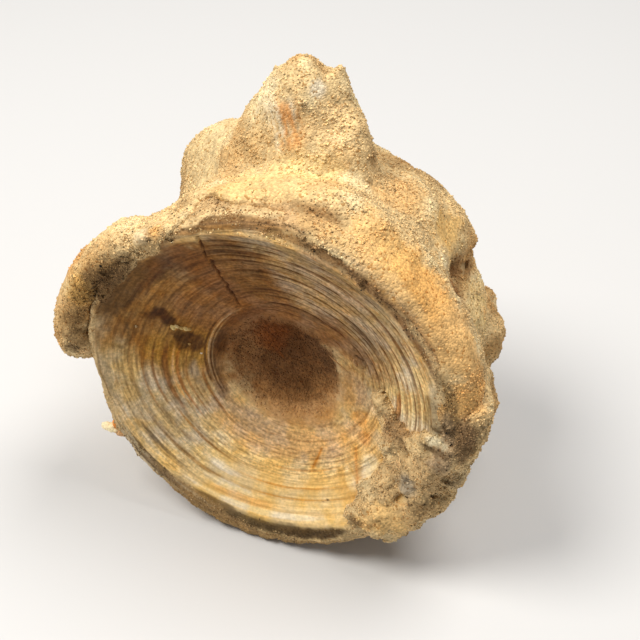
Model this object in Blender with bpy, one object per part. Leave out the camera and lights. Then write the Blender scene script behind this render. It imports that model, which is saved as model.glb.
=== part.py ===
"""A fossil vertebra still held in the sandstone it was found in.

Two pieces: the vertebra, a short spool of bone with a deep dish in each end, and the
matrix, the rough sandstone that grips its waist, laps over part of the front rim and
stands up behind it in broken lumps. Metres, +Z up, the front dish facing -Y, and the
underside cut flat at z = 0.
"""

import math

import bmesh
import bpy
from mathutils import Euler, Matrix, Vector, noise

MM = 0.001

# Driving dimensions of the vertebra.
RIM_RADIUS = 34.5 * MM  # the front rim, from the middle of the dish
DISH_RADIUS = 28.8 * MM
DISH_DEPTH = 12.0 * MM
WAIST_RADIUS = 26.0 * MM
LENGTH = 33.0 * MM  # front rim to rear rim
REAR_RADIUS = 28.6 * MM
REAR_DISH_RADIUS = 24.5 * MM
REAR_DISH_DEPTH = 10.5 * MM
REAR_LIFT = 1.6 * MM  # the rear end sits a little higher than the front one

# How the vertebra leans in its stone.
DISH_CENTRE = Vector((0.0, -26.3 * MM, 35.0 * MM))
LEAN_BACK = math.radians(6.0)

# Bands of growth: the radius and depth at which each one drops to the next.
GROWTH_STEPS = (
    (27.2 * MM, 1.0 * MM),
    (25.3 * MM, 2.1 * MM),
    (23.4 * MM, 3.1 * MM),
    (21.4 * MM, 4.3 * MM),
    (19.5 * MM, 5.3 * MM),
    (17.6 * MM, 6.3 * MM),
    (14.7 * MM, 7.8 * MM),
)
STEP_WIDTH = 0.5 * MM
STEP_DROP = 0.45 * MM
PIT_RADIUS = 10.5 * MM
PIT_DEPTH = 9.8 * MM
REAR_STEPS = 4

# The rings drift off centre as the dish deepens: radius, drift right, drift up.
RING_DRIFT = (
    (0.0, 0.2 * MM, -2.9 * MM),
    (10.5 * MM, 0.2 * MM, -2.9 * MM),
    (14.7 * MM, 1.9 * MM, -2.7 * MM),
    (28.8 * MM, 0.0, 0.0),
)

# The rim is not round: its radius at each angle, counted from the right, in degrees.
RIM_OUTLINE = (
    (-180, 30.4 * MM),
    (-165, 30.2 * MM),
    (-150, 32.4 * MM),
    (-130, 33.5 * MM),
    (-110, 35.0 * MM),
    (-90, 35.7 * MM),
    (-70, 34.9 * MM),
    (-45, 34.6 * MM),
    (-20, 34.6 * MM),
    (5, 35.4 * MM),
    (20, 36.0 * MM),
    (38, 34.8 * MM),
    (60, 34.2 * MM),
    (85, 32.8 * MM),
    (110, 31.3 * MM),
    (135, 30.8 * MM),
    (160, 30.5 * MM),
    (180, 30.4 * MM),
)

RIM_WEAR = 0.8 * MM  # how much the outside of the bone is worn and swollen
WEAR_ALONG = 7.0 * MM  # the length of one swelling, from front to rear
WEAR_ROUND = 2.5  # more of this is more swellings round the bone
TURNS = 50  # faces round the vertebra
CLEARANCE = 0.6 * MM  # the gap between the bone and the hollow that it leaves in the stone

# The sandstone: middle and half-widths in millimetres, and turn in degrees about x, y
# and z. Boulders are worn round, and blocks have broken off flat.
BOULDERS = {
    "arch": ((0.5, 0.5, 56.0), (18.0, 10.5, 12.5), (0, 0, 0)),
    "spine_root": ((-0.8, 0.0, 61.5), (13.2, 9.5, 10.0), (0, 0, 0)),
    "spine": ((-1.6, -0.5, 66.5), (9.6, 7.6, 10.0), (0, 0, 0)),
    "spine_top": ((-0.8, -1.2, 72.9), (6.4, 5.8, 7.6), (0, 0, 0)),
    "left_shoulder": ((-17.5, 9.0, 46.0), (11.0, 8.5, 12.5), (0, 0, 0)),
    "left_cap": ((-13.5, 7.5, 53.5), (9.5, 7.5, 7.0), (0, -20, 0)),
    "right_shoulder": ((12.0, 1.5, 49.0), (13.5, 11.0, 11.0), (0, 28, 0)),
    "right_brow": ((20.0, 3.0, 48.0), (5.5, 8.5, 7.0), (0, 15, 0)),
    "saddle": ((3.0, 4.5, 56.0), (12.5, 8.0, 8.0), (0, 10, 0)),
    "foot": ((0.0, 1.0, 9.0), (22.0, 14.5, 15.0), (0, 0, 8)),
}
BLOCKS = {
    "spine_edge": ((-3.0, -1.5, 66.0), (5.2, 5.2, 9.0), (4, 2, 40)),
    "spine_tip": ((3.4, 0.8, 70.2), (3.0, 4.2, 7.2), (0, -8, 20)),
    "ledge": ((22.8, 6.0, 27.0), (8.4, 6.2, 8.8), (8, 10, 14)),
    "back": ((2.5, 7.5, 46.0), (14.5, 6.5, 10.0), (14, 10, -8)),
    "left_flank": ((-19.0, 8.0, 26.0), (7.6, 6.6, 15.0), (0, 12, -14)),
    "heel": ((9.0, 9.5, 11.0), (10.0, 6.5, 8.5), (10, -14, 12)),
}

# The stone that fills the waist is a ring of beads at each of these depths.
PACKING_DEPTHS = (10.0 * MM, 17.0 * MM, 24.0 * MM, 30.0 * MM)
PACKING_REACH = 30.6 * MM
PACKING_BEAD = (6.0 * MM, 7.0 * MM, 5.5 * MM)  # half-widths out, round and in depth
BEHIND_THE_RIM = 2.2 * MM  # the packing stays this far inside the front rim's outline

# The crest of stone behind the top of the rim: how far out it reaches at each angle.
COLLAR = (
    (34, 33.8 * MM),
    (55, 36.0 * MM),
    (75, 37.2 * MM),
    (86, 36.2 * MM),
    (98, 34.0 * MM),
    (116, 32.2 * MM),
    (134, 32.2 * MM),
)
COLLAR_BEAD = (4.6 * MM, 5.4 * MM, 5.2 * MM)
COLLAR_DEPTH = 7.6 * MM
COLLAR_RAGGED = 0.6 * MM

# The lobe that stands proud of the rim on the left: its reach near the face, and
# behind it.
LOBE = (
    (128, 32.4 * MM, 31.4 * MM),
    (142, 34.8 * MM, 33.4 * MM),
    (155, 36.0 * MM, 35.4 * MM),
    (167, 37.2 * MM, 37.8 * MM),
    (186, 38.4 * MM, 38.6 * MM),
)
LOBE_INSIDE = 29.4 * MM  # the lobe stops short of the dish
LOBE_FACE_DEPTH = 3.2 * MM
LOBE_ROOT_DEPTH = 10.5 * MM
LOBE_ROOT_BEAD = (5.6 * MM, 4.6 * MM, 6.0 * MM)

# The crust that laps over the lower right of the dish: radius, and its two margins
# in degrees.
CRUST = (
    (17.0 * MM, -6, 5),
    (19.2 * MM, -15, -2),
    (21.4 * MM, -23, -11),
    (23.6 * MM, -34, -12),
    (25.8 * MM, -45, -8),
    (28.0 * MM, -53, -3),
    (30.2 * MM, -55, 2),
    (32.0 * MM, -50, 6),
)
CRUST_BEAD = 2.6 * MM
CRUST_RISE = 1.8 * MM  # how far the crust stands above the bone
# It wraps round the edge of the rim to the packing behind: depths, and angles.
WRAP_DEPTHS = (2.0 * MM, 5.0 * MM, 8.0 * MM, 11.0 * MM)
WRAP_DEGREES = range(-50, 12, 5)
WRAP_INSET = 1.0 * MM  # from the rim's outline to the middle of a bead
WRAP_TAPER = 0.4  # it draws in past the widest part of the rim
RIM_SHOULDER = 8.0 * MM  # the depth at which the rim starts to draw in

# The skin of the stone: its fineness, its chips and swellings, and how many of its
# faces are kept.
SKIN_VOXEL = 0.9 * MM
BLENDING = 5
CHIP_SIZE = 6.0 * MM
CHIP_DEPTH = 2.0 * MM
SWELL_SIZE = 9.0 * MM
SWELL_HEIGHT = 0.9 * MM
ROUGH_FROM_DEPTH = 12.0 * MM  # the stone is smoother nearer the face of the disc
SMOOTHEST = 0.3
SKIN_KEPT = 0.072

BONE_COLOUR = (0.62, 0.47, 0.29)
STONE_COLOUR = (0.66, 0.48, 0.26)


def clear_scene():
    for obj in list(bpy.data.objects):
        bpy.data.objects.remove(obj)


def material(name, colour, roughness):
    made = bpy.data.materials.new(name)
    made.use_nodes = True
    shader = made.node_tree.nodes["Principled BSDF"]
    shader.inputs["Base Color"].default_value = (*colour, 1.0)
    shader.inputs["Roughness"].default_value = roughness
    shader.inputs["Metallic"].default_value = 0.0
    return made


def new_object(name, bm, is_cutter=False):
    mesh = bpy.data.meshes.new(name)
    bm.to_mesh(mesh)
    bm.free()
    obj = bpy.data.objects.new(name, mesh)
    bpy.context.scene.collection.objects.link(obj)
    if is_cutter:
        obj.hide_render = True
        obj.display_type = "WIRE"
    return obj


def read(table, x, column=1):
    """One column of a table at x, on straight lines between its rows."""
    for low, high in zip(table, table[1:]):
        if x <= high[0]:
            share = max(0.0, (x - low[0]) / (high[0] - low[0]))
            return low[column] + (high[column] - low[column]) * share
    return table[-1][column]


def wrapped(degrees):
    """The same angle, between -180 and 180 degrees."""
    return (degrees + 180) % 360 - 180


def lean():
    """The turn that takes the bone's own axis, +Z, to where the dish faces."""
    return Matrix.Rotation(math.radians(90) - LEAN_BACK, 3, "X")


def on_disc(radius, angle, depth):
    """A point of the world from its radius, angle and depth behind the front rim."""
    local = Vector((radius * math.cos(angle), radius * math.sin(angle), -depth))
    return DISH_CENTRE + lean() @ local


def ring_drift(radius):
    return Vector((read(RING_DRIFT, radius, 1), read(RING_DRIFT, radius, 2), 0.0))


# The vertebra.


def dish_depth(radius):
    """How deep the front dish is, with its steps smoothed away."""
    floor = ((0.0, DISH_DEPTH), (4 * MM, DISH_DEPTH * 0.985), (8 * MM, DISH_DEPTH * 0.92))
    slope = [(r, d + STEP_DROP / 2) for r, d in reversed(GROWTH_STEPS)]
    return read((*floor, (PIT_RADIUS, PIT_DEPTH), *slope, (DISH_RADIUS, 0.0)), radius)


def front_dish(stepped):
    """The profile from the middle of the front dish to its edge: radius and height."""
    points = [(r, -dish_depth(r)) for r in (0.0, 4 * MM, 8 * MM, PIT_RADIUS)]
    for radius, depth in reversed(GROWTH_STEPS):
        if stepped:
            points.append((radius - STEP_WIDTH / 2, -depth - STEP_DROP))
            points.append((radius + STEP_WIDTH / 2, -depth))
        else:
            points.append((radius, -dish_depth(radius)))
    points.append((DISH_RADIUS, 0.0))
    return points


def rim_and_waist():
    """The profile over the front rim, down to the waist and out to the rear rim."""
    rim = RIM_RADIUS - DISH_RADIUS
    return [
        (DISH_RADIUS + 0.30 * rim, 0.3 * MM),
        (DISH_RADIUS + 0.72 * rim, 0.0),
        (DISH_RADIUS + 0.93 * rim, -1.2 * MM),
        (RIM_RADIUS, -3.6 * MM),
        (RIM_RADIUS - 0.3 * MM, -7.5 * MM),
        (WAIST_RADIUS + 3.5 * MM, -12.0 * MM),
        (WAIST_RADIUS, -LENGTH * 0.55),
        (WAIST_RADIUS + 1.2 * MM, -LENGTH * 0.75),
        (REAR_RADIUS, -LENGTH * 0.90),
        (REAR_RADIUS - 0.7 * MM, -LENGTH * 0.97),
        (REAR_RADIUS - 2.0 * MM, -LENGTH),
    ]


def rear_dish(stepped):
    """The profile from the edge of the rear dish to its middle."""
    points = [(REAR_DISH_RADIUS, -LENGTH)]
    for step in range(1, REAR_STEPS + 1):
        share = step / (REAR_STEPS + 1)
        radius = REAR_DISH_RADIUS * (1.0 - share)
        depth = REAR_DISH_DEPTH * math.sin(share * math.pi / 2)
        if stepped:
            points.append((radius + STEP_WIDTH / 2, -LENGTH + depth))
            points.append((radius - STEP_WIDTH / 2, -LENGTH + depth + STEP_DROP))
        else:
            points.append((radius, -LENGTH + depth))
    points.append((0.0, -LENGTH + REAR_DISH_DEPTH + STEP_DROP))
    return points


def grown(profile, gap):
    """The profile moved outwards, square to its own surface, by the gap."""
    moved = []
    for n, (radius, height) in enumerate(profile):
        before = profile[max(n - 1, 0)]
        after = profile[min(n + 1, len(profile) - 1)]
        along = Vector((after[0] - before[0], after[1] - before[1])).normalized()
        if n in (0, len(profile) - 1):
            moved.append((0.0, height + gap * (1 if n == 0 else -1)))
        else:
            moved.append((max(0.0, radius - along.y * gap), height + along.x * gap))
    return moved


def uneven(point):
    """Takes a point of the round profile to its place on the real, uneven bone."""
    radius = math.hypot(point.x, point.y)
    angle = math.atan2(point.y, point.x)
    if point.z > -DISH_DEPTH - CLEARANCE and radius <= DISH_RADIUS:
        return point + ring_drift(radius)
    outer = read(RIM_OUTLINE, math.degrees(angle))
    out = Vector((math.cos(angle), math.sin(angle), 0.0))
    wear = RIM_WEAR * noise.noise(out * WEAR_ROUND + Vector((0, 0, point.z / WEAR_ALONG)))
    if point.z > -DISH_DEPTH:
        across = (radius - DISH_RADIUS) / (RIM_RADIUS - DISH_RADIUS)
        new_radius = DISH_RADIUS + across * (outer - DISH_RADIUS)
        wear *= min(1.0, max(0.0, 3.0 * across))
        lift = 0.0
    else:
        share = (-point.z - DISH_DEPTH) / (LENGTH - DISH_DEPTH)
        new_radius = radius * (1.0 + (1.0 - 0.9 * share) * (outer / RIM_RADIUS - 1.0))
        lift = REAR_LIFT * share
    return out * (new_radius + wear) + Vector((0.0, lift, point.z))


def spool(profile):
    """The profile turned about the bone's axis and made uneven."""
    bm = bmesh.new()
    points = [bm.verts.new((radius, 0.0, height)) for radius, height in profile]
    edges = [bm.edges.new(pair) for pair in zip(points, points[1:])]
    bmesh.ops.spin(
        bm,
        geom=points + edges,
        cent=(0, 0, 0),
        axis=(0, 0, 1),
        dvec=(0, 0, 0),
        angle=math.tau,
        steps=TURNS,
        use_merge=True,
    )
    bmesh.ops.remove_doubles(bm, verts=bm.verts, dist=0.01 * MM)
    for vert in bm.verts:
        vert.co = uneven(vert.co)
    bmesh.ops.recalc_face_normals(bm, faces=bm.faces)
    return bm


def set_in_place(obj):
    obj.location = DISH_CENTRE
    obj.rotation_euler = Euler((math.radians(90) - LEAN_BACK, 0.0, 0.0))
    bpy.context.view_layer.update()


def make_vertebra(table):
    profile = front_dish(True) + rim_and_waist() + rear_dish(True)
    bone = new_object("vertebra", spool(profile))
    set_in_place(bone)
    cut(bone, table)
    bone.data.materials.append(material("bone", BONE_COLOUR, 0.75))


def make_hollow():
    """The shape that the vertebra leaves in the stone."""
    profile = front_dish(False) + rim_and_waist() + rear_dish(False)
    hollow = new_object("hollow", spool(grown(profile, CLEARANCE)), True)
    set_in_place(hollow)
    return hollow


# The matrix.


def placed(middle, half_widths, turn):
    size = Matrix.Diagonal((*half_widths, 1.0))
    return Matrix.Translation(middle) @ turn.to_4x4() @ size


def add_boulder(bm, place):
    bmesh.ops.create_icosphere(bm, subdivisions=3, radius=1.0, matrix=place)


def add_block(bm, place):
    bmesh.ops.create_cube(bm, size=2.0, matrix=place)


def add_bead(bm, radius, angle, depth, half_widths):
    """A lump placed round the disc: half-widths outwards, along the rim, and in depth."""
    turn = lean() @ Matrix.Rotation(angle, 3, "Z")
    place = placed(on_disc(radius, angle, depth), half_widths, turn)
    bmesh.ops.create_icosphere(bm, subdivisions=2, radius=1.0, matrix=place)


def add_lumps(bm):
    for add, shapes in ((add_boulder, BOULDERS), (add_block, BLOCKS)):
        for middle, half_widths, turn in shapes.values():
            angles = Euler([math.radians(a) for a in turn])
            add(bm, placed(Vector(middle) * MM, Vector(half_widths) * MM, angles.to_matrix()))


def add_packing(bm):
    """The stone that fills the waist between the two rims."""
    for degrees in range(0, 360, 15):
        outline = read(RIM_OUTLINE, wrapped(degrees))
        reach = min(PACKING_REACH, outline - BEHIND_THE_RIM)
        for depth in PACKING_DEPTHS:
            radius = reach - PACKING_BEAD[0]
            add_bead(bm, radius, math.radians(degrees), depth, PACKING_BEAD)


def add_collar(bm):
    for degrees in range(COLLAR[0][0], COLLAR[-1][0], 7):
        ragged = COLLAR_RAGGED * noise.noise(Vector((degrees / 10, 0, 0)))
        radius = read(COLLAR, degrees) + ragged - COLLAR_BEAD[0]
        add_bead(bm, radius, math.radians(degrees), COLLAR_DEPTH, COLLAR_BEAD)


def add_left_lobe(bm):
    for degrees in range(LOBE[0][0], LOBE[-1][0] + 1, 5):
        angle = math.radians(degrees)
        thick = (read(LOBE, degrees, 1) - LOBE_INSIDE) / 2
        face = (thick, 4.0 * MM, 5.6 * MM)
        add_bead(bm, LOBE_INSIDE + thick, angle, LOBE_FACE_DEPTH, face)
        radius = read(LOBE, degrees, 2) - LOBE_ROOT_BEAD[0]
        add_bead(bm, radius, angle, LOBE_ROOT_DEPTH, LOBE_ROOT_BEAD)


def add_crust(bm):
    """The crust inside the dish, and the strip that wraps it round the rim."""
    bead = (CRUST_BEAD * 1.1, CRUST_BEAD * 1.2, CRUST_BEAD)
    for radius, start, end in CRUST:
        across = radius * math.radians(end - start)
        count = max(2, round(across / (1.5 * CRUST_BEAD)))
        depth = max(0.0, dish_depth(radius)) + CRUST_BEAD - CRUST_RISE
        for n in range(count + 1):
            angle = math.radians(start + (end - start) * n / count)
            flat = Vector((radius * math.cos(angle), radius * math.sin(angle), 0.0))
            flat = flat + ring_drift(radius)
            add_bead(bm, flat.length, math.atan2(flat.y, flat.x), depth, bead)
    for depth in WRAP_DEPTHS:
        taper = WRAP_TAPER * max(0.0, depth - RIM_SHOULDER)
        for degrees in WRAP_DEGREES:
            radius = read(RIM_OUTLINE, degrees) - WRAP_INSET - taper
            add_bead(bm, radius, math.radians(degrees), depth, bead)


def chip(place):
    """How far the skin moves out at a place: each chip is a small tilted facet."""
    spot = place / CHIP_SIZE
    middle = noise.voronoi(spot)[1][0]
    tilt = noise.noise_vector(middle * 3.7)
    return CHIP_DEPTH * (spot - middle).dot(tilt)


def roughen(obj):
    """Breaks up the smooth skin of the stone, less so near the face of the disc."""
    facing = lean() @ Vector((0.0, 0.0, 1.0))
    normals = [vert.normal.copy() for vert in obj.data.vertices]
    for vert, normal in zip(obj.data.vertices, normals):
        depth = (DISH_CENTRE - vert.co).dot(facing)
        strength = min(1.0, max(SMOOTHEST, depth / ROUGH_FROM_DEPTH))
        swell = SWELL_HEIGHT * noise.noise(vert.co / SWELL_SIZE)
        vert.co = vert.co + normal * strength * (swell + chip(vert.co))


def bake(obj):
    """Turns an object's modifiers into plain mesh."""
    depsgraph = bpy.context.evaluated_depsgraph_get()
    mesh = bpy.data.meshes.new_from_object(obj.evaluated_get(depsgraph))
    obj.modifiers.clear()
    obj.data = mesh


def new_skin(obj):
    """One closed skin round all that the object holds."""
    skin = obj.modifiers.new("skin", "REMESH")
    skin.mode = "VOXEL"
    skin.voxel_size = SKIN_VOXEL


def cut(obj, cutter):
    trim = obj.modifiers.new("cut by " + cutter.name, "BOOLEAN")
    trim.operation = "DIFFERENCE"
    trim.object = cutter


def make_table():
    """The cutter that takes off all that would lie below the flat underside."""
    bm = bmesh.new()
    half = 100.0 * MM
    place = Matrix.Translation((0.0, 0.0, -half)) @ Matrix.Scale(half, 4)
    bmesh.ops.create_cube(bm, size=2.0, matrix=place)
    return new_object("below_the_base", bm, True)


def keep_largest(obj):
    """Drops the crumbs that a cut has left loose."""
    bm = bmesh.new()
    bm.from_mesh(obj.data)
    waiting = set(bm.verts)
    islands = []
    while waiting:
        island = {waiting.pop()}
        edge_of_island = list(island)
        while edge_of_island:
            vert = edge_of_island.pop()
            fresh = {edge.other_vert(vert) for edge in vert.link_edges} & waiting
            waiting -= fresh
            island |= fresh
            edge_of_island.extend(fresh)
        islands.append(island)
    islands.sort(key=len)
    crumbs = [vert for island in islands[:-1] for vert in island]
    bmesh.ops.delete(bm, geom=crumbs, context="VERTS")
    bm.to_mesh(obj.data)
    bm.free()


def make_matrix(hollow, table):
    bm = bmesh.new()
    add_lumps(bm)
    add_packing(bm)
    add_collar(bm)
    add_left_lobe(bm)
    add_crust(bm)
    stone = new_object("matrix", bm)
    new_skin(stone)
    blend = stone.modifiers.new("blended lumps", "SMOOTH")
    blend.iterations = BLENDING
    bake(stone)
    roughen(stone)
    new_skin(stone)
    thin = stone.modifiers.new("fewer faces", "DECIMATE")
    thin.ratio = SKIN_KEPT
    cut(stone, hollow)
    cut(stone, table)
    bake(stone)
    keep_largest(stone)
    stone.data.materials.append(material("sandstone", STONE_COLOUR, 0.95))


clear_scene()
below = make_table()
make_vertebra(below)
make_matrix(make_hollow(), below)
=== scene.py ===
"""The finish of a fossil vertebra that is still held in its sandstone.

The bone is turned finely enough to carry its growth rings. The stone is grown a new,
fine skin over its solid, and sand grains stick to both. Metres, +Z up.
"""

import math

import bmesh
import bpy
import numpy as np
from mathutils import Matrix, Vector
from mathutils.bvhtree import BVHTree


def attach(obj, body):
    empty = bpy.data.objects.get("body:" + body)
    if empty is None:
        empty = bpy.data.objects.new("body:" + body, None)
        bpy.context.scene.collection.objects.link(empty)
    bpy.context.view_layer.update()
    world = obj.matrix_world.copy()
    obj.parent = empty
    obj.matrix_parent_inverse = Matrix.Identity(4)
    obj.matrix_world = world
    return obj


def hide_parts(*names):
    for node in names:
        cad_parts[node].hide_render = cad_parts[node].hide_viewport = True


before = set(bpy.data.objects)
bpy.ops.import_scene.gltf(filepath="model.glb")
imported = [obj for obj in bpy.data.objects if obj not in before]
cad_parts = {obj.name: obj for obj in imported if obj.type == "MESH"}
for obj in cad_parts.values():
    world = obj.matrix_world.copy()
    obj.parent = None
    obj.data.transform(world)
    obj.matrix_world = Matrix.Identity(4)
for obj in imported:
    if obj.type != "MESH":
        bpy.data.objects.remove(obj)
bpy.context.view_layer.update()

MM = 0.001

# The bone. Sizes in millimetres, in the disc's own frame: radius and angle about the
# middle of the dish, and height in front of its edge.
DISH_RADIUS = 28.8
DISH_DEPTH = 12.0
RIM_RADIUS = 34.5
LENGTH = 33.0
REAR_LIFT = 1.6
RIM_WEAR = 0.8
DISH_CENTRE = np.array((0.0, -26.3, 35.0))
LEAN = np.array(Matrix.Rotation(math.radians(84), 3, "X"))
SLICES = 380

# The slices lie closer together round the seam: by how many degrees they are moved, and
# round what angle.
CLOSER = 12.0
SEAM_MIDDLE = 115.0

# The outline of the rim: degrees from the right, and radius.
RIM_OUTLINE = (
    (-180, 30.4), (-165, 30.2), (-150, 32.4), (-130, 33.5), (-110, 35), (-90, 35.7),
    (-70, 34.5), (-45, 33.3), (-20, 33.3), (5, 34.2), (20, 35.2), (38, 34.8), (60, 34.2),
    (85, 32.8), (110, 31.3), (135, 30.8), (160, 30.5), (180, 30.4),
)

# The rings drift off centre as the dish deepens: radius, drift right, drift up.
RING_DRIFT = ((0.0, 0.2, -2.9), (10.5, 0.2, -2.9), (14.7, 1.9, -2.7), (28.8, 0.0, 0.0))

# Half a section of the bone, as stretches of profile: the space between two rings of
# points, and the corners that the stretch runs through.
PIT = (0.6, ((0.0, -12.0), (4.0, -11.8), (8.0, -11.0)))
GROWTH = (0.17, (
    (8.0, -11.0), (10.5, -9.8), (14.7, -8.0), (17.6, -6.5), (19.5, -5.5), (21.4, -4.5),
    (23.4, -3.3), (25.3, -2.3), (27.2, -1.2), (28.8, 0.0),
))
RIM = (0.33, (
    (28.8, 0.0), (30.5, 0.3), (32.9, 0.0), (34.1, -1.2), (34.5, -3.6), (34.2, -7.5),
    (33.0, -9.0),
))
WAIST = (1.1, (
    (33.0, -9.0), (29.5, -12.0), (26.0, -18.2), (27.2, -24.8), (28.6, -29.7),
    (27.9, -32.0), (26.6, -33.0), (24.5, -33.0),
))
REAR_DISH = (0.7, (
    (24.5, -33.0), (19.6, -29.8), (14.7, -26.8), (9.8, -24.5), (4.9, -23.0), (0.0, -22.4),
))


def between(table, x, column=1):
    """One column of a table at x, on straight lines between its rows."""
    rows = np.array(table, float)
    return np.interp(x, rows[:, 0], rows[:, column])


def wrapped(degrees):
    return (np.asarray(degrees) + 180.0) % 360.0 - 180.0


def rim_outline(degrees):
    """The outline's radius, with the corners of its table rounded off."""
    return sum(between(RIM_OUTLINE, wrapped(degrees + d)) for d in (-9, -5, 0, 5, 9)) / 5


def disc_to_world(points):
    """Points of the disc's own frame, in millimetres, as world points in metres."""
    return (DISH_CENTRE + np.asarray(points) @ LEAN.T) * MM


def to_disc(points):
    """World points in millimetres in the disc's own frame, with radius and degrees."""
    local = (points - DISH_CENTRE) @ LEAN
    across, up = local[:, 0], local[:, 1]
    return local, np.hypot(across, up), np.degrees(np.arctan2(up, across))


def circle(degrees):
    """Points on a circle of radius 1."""
    turn = np.radians(degrees)
    return np.column_stack((np.cos(turn), np.sin(turn)))


def step(x, low, high):
    """0 below low, 1 above high, and smooth between."""
    share = np.clip((x - low) / (high - low), 0.0, 1.0)
    return share * share * (3.0 - 2.0 * share)


def reaches_off(points, middle, reach):
    """How far points lie from a middle, in reaches."""
    return np.linalg.norm(points - np.array(middle), axis=1) / reach


def slopes():
    """The slopes that the noise below is made of, always the same ones."""
    draw = np.random.default_rng(5)
    found = draw.normal(size=(512, 3))
    return found / np.linalg.norm(found, axis=1)[:, None]


SLOPES = slopes()


def noise_at(points, scale=1.0, offset=0.0):
    """Smooth noise from -1 to 1 at each row of points."""
    place = np.asarray(points) * scale + offset * np.array((7.3, 3.1, 5.7))
    cell = np.floor(place).astype(np.int64)
    within = place - cell
    ease = within ** 3 * (within * (within * 6 - 15) + 10)
    total = np.zeros(len(place))
    for corner in np.ndindex(2, 2, 2):
        x, y, z = (cell + corner).T
        pick = (x * 73856093 ^ y * 19349663 ^ z * 83492791) % len(SLOPES)
        rise = np.einsum("ij,ij->i", SLOPES[pick], within - corner)
        total += rise * np.prod(np.where(corner, ease, 1.0 - ease), axis=1)
    return total * 1.7


def section():
    """The whole half section: an array of radius and height."""
    found = [(0.0, -DISH_DEPTH)]
    for space, corners in (PIT, GROWTH, RIM, WAIST, REAR_DISH):
        for start, end in zip(corners, corners[1:]):
            run = math.dist(start, end)
            count = max(1, round(run / space))
            for n in range(1, count + 1):
                share = n / count
                found.append(tuple(a + (b - a) * share for a, b in zip(start, end)))
    points = np.array(found)
    for _ in range(3):
        points[1:-1] = (points[:-2] + 2 * points[1:-1] + points[2:]) / 4
    return points


def mesh_from(bm, name):
    """A new mesh made from a bmesh, which is then freed."""
    mesh = bpy.data.meshes.new(name)
    bm.to_mesh(mesh)
    bm.free()
    return mesh


def spun(profile, slices):
    """A mesh turned from a profile; each point keeps its number along it."""
    bm = bmesh.new()
    along = bm.verts.layers.float.new("along")
    row = []
    for n, (radius, height) in enumerate(profile):
        vert = bm.verts.new((radius, 0.0, height))
        vert[along] = n
        row.append(vert)
    row[0].co.x = row[-1].co.x = 0.0
    for pair in zip(row, row[1:]):
        bm.edges.new(pair)
    piece = add_piece("turned", mesh_from(bm, "turned"))
    turn = piece.modifiers.new("turned", "SCREW")
    turn.steps = turn.render_steps = slices
    turn.use_merge_vertices = True
    turn.merge_threshold = 0.0001
    turn.use_smooth_shade = True
    baked(piece)
    mesh = piece.data
    bpy.data.objects.remove(piece)
    return mesh


def rows_of(data, key):
    found = np.empty(len(data) * 3, np.float32)
    data.foreach_get(key, found)
    return found.reshape(-1, 3).astype(float)


def get_points(mesh):
    return rows_of(mesh.vertices, "co")


def set_points(mesh, points):
    mesh.vertices.foreach_set("co", np.asarray(points, np.float32).ravel())
    mesh.update()


def store(mesh, name, values, kind="FLOAT"):
    """Keeps one value for each point, as an attribute that materials can read."""
    values = np.asarray(values, np.float32)
    layer = mesh.attributes.new(name, kind, "POINT")
    if kind == "FLOAT_COLOR":
        values = np.column_stack((values, np.ones(len(values), np.float32)))
        layer.data.foreach_set("color", values.ravel())
    elif kind == "FLOAT_VECTOR":
        layer.data.foreach_set("vector", values.ravel())
    else:
        layer.data.foreach_set("value", values)


def add_piece(name, mesh):
    piece = bpy.data.objects.new(name, mesh)
    bpy.context.scene.collection.objects.link(piece)
    return piece


def linear(*shade):
    """A colour given as 0-255 screen values, as linear light."""
    c = np.array(shade, float) / 255.0
    return np.where(c <= 0.04045, c / 12.92, ((c + 0.055) / 1.055) ** 2.4)


def mixed(tint, colour, share):
    """Rows of colours, moved towards another colour by a share for each row."""
    return tint + (linear(*colour) - tint) * np.clip(share, 0.0, 1.0)[:, None]


# Growth rings.

# Bold steps between bands of growth: radius, width and drop.
BOLD_STEPS = (
    (27.4, 0.22, 0.36), (26.8, 0.14, 0.18), (26.3, 0.17, 0.32), (25.2, 0.26, 0.46),
    (24.8, 0.14, 0.2), (24.3, 0.16, 0.26), (23.3, 0.23, 0.42), (22.8, 0.14, 0.18),
    (22.2, 0.17, 0.3), (21.6, 0.14, 0.2), (21, 0.25, 0.44), (20.1, 0.15, 0.24),
    (19.7, 0.14, 0.16), (19.2, 0.2, 0.36), (18.7, 0.14, 0.18), (18.2, 0.16, 0.26),
    (17.2, 0.19, 0.32), (16.6, 0.14, 0.18), (15.9, 0.17, 0.28), (14.4, 0.17, 0.32),
    (12.4, 0.19, 0.2),
)

# Two low ridges round the left of the pit: radius, width and rise.
RIDGES = ((14.2, 0.26, 0.20), (13.35, 0.22, 0.15))

# The seam where the rings have slipped, and the small cracks beside it: width, depth,
# and the radius and degrees of each point along it.
SEAM = (0.15, 0.36, ((31.5, 108), (29.9, 109), (25.4, 114), (20.3, 118), (15.2, 125)))
SEAM_SLIP = 1.5
CRACKS = (
    SEAM,
    (0.12, 0.2, ((23.4, 103), (21.5, 105))),
    (0.1, 0.18, ((22, 97), (20.4, 99))),
    (0.1, 0.16, ((27.6, 92), (26.2, 93))),
    (0.15, 0.42, ((13.7, 34), (14.3, 31), (14.5, 27), (14.1, 22))),
    (0.13, 0.22, ((10.6, 33), (12, 20))),
)


def seam_angle(radius):
    return between(SEAM[2][::-1], radius)


def ring_coordinate(radius, degrees):
    """The radius that a ring would have if none had slipped or wandered."""
    round_it = circle(degrees)
    broad = np.column_stack((round_it * 1.3, radius * 0.12))
    close = np.column_stack((round_it * 5.5, radius * 0.5))
    wander = 0.55 * noise_at(broad) + 0.07 * noise_at(close, 1.0, 8.0)
    past = wrapped(degrees - seam_angle(radius))
    slip = SEAM_SLIP * step(past, 0.0, 1.2) * (1.0 - step(past, 30.0, 85.0))
    return radius + wander + slip


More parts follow.
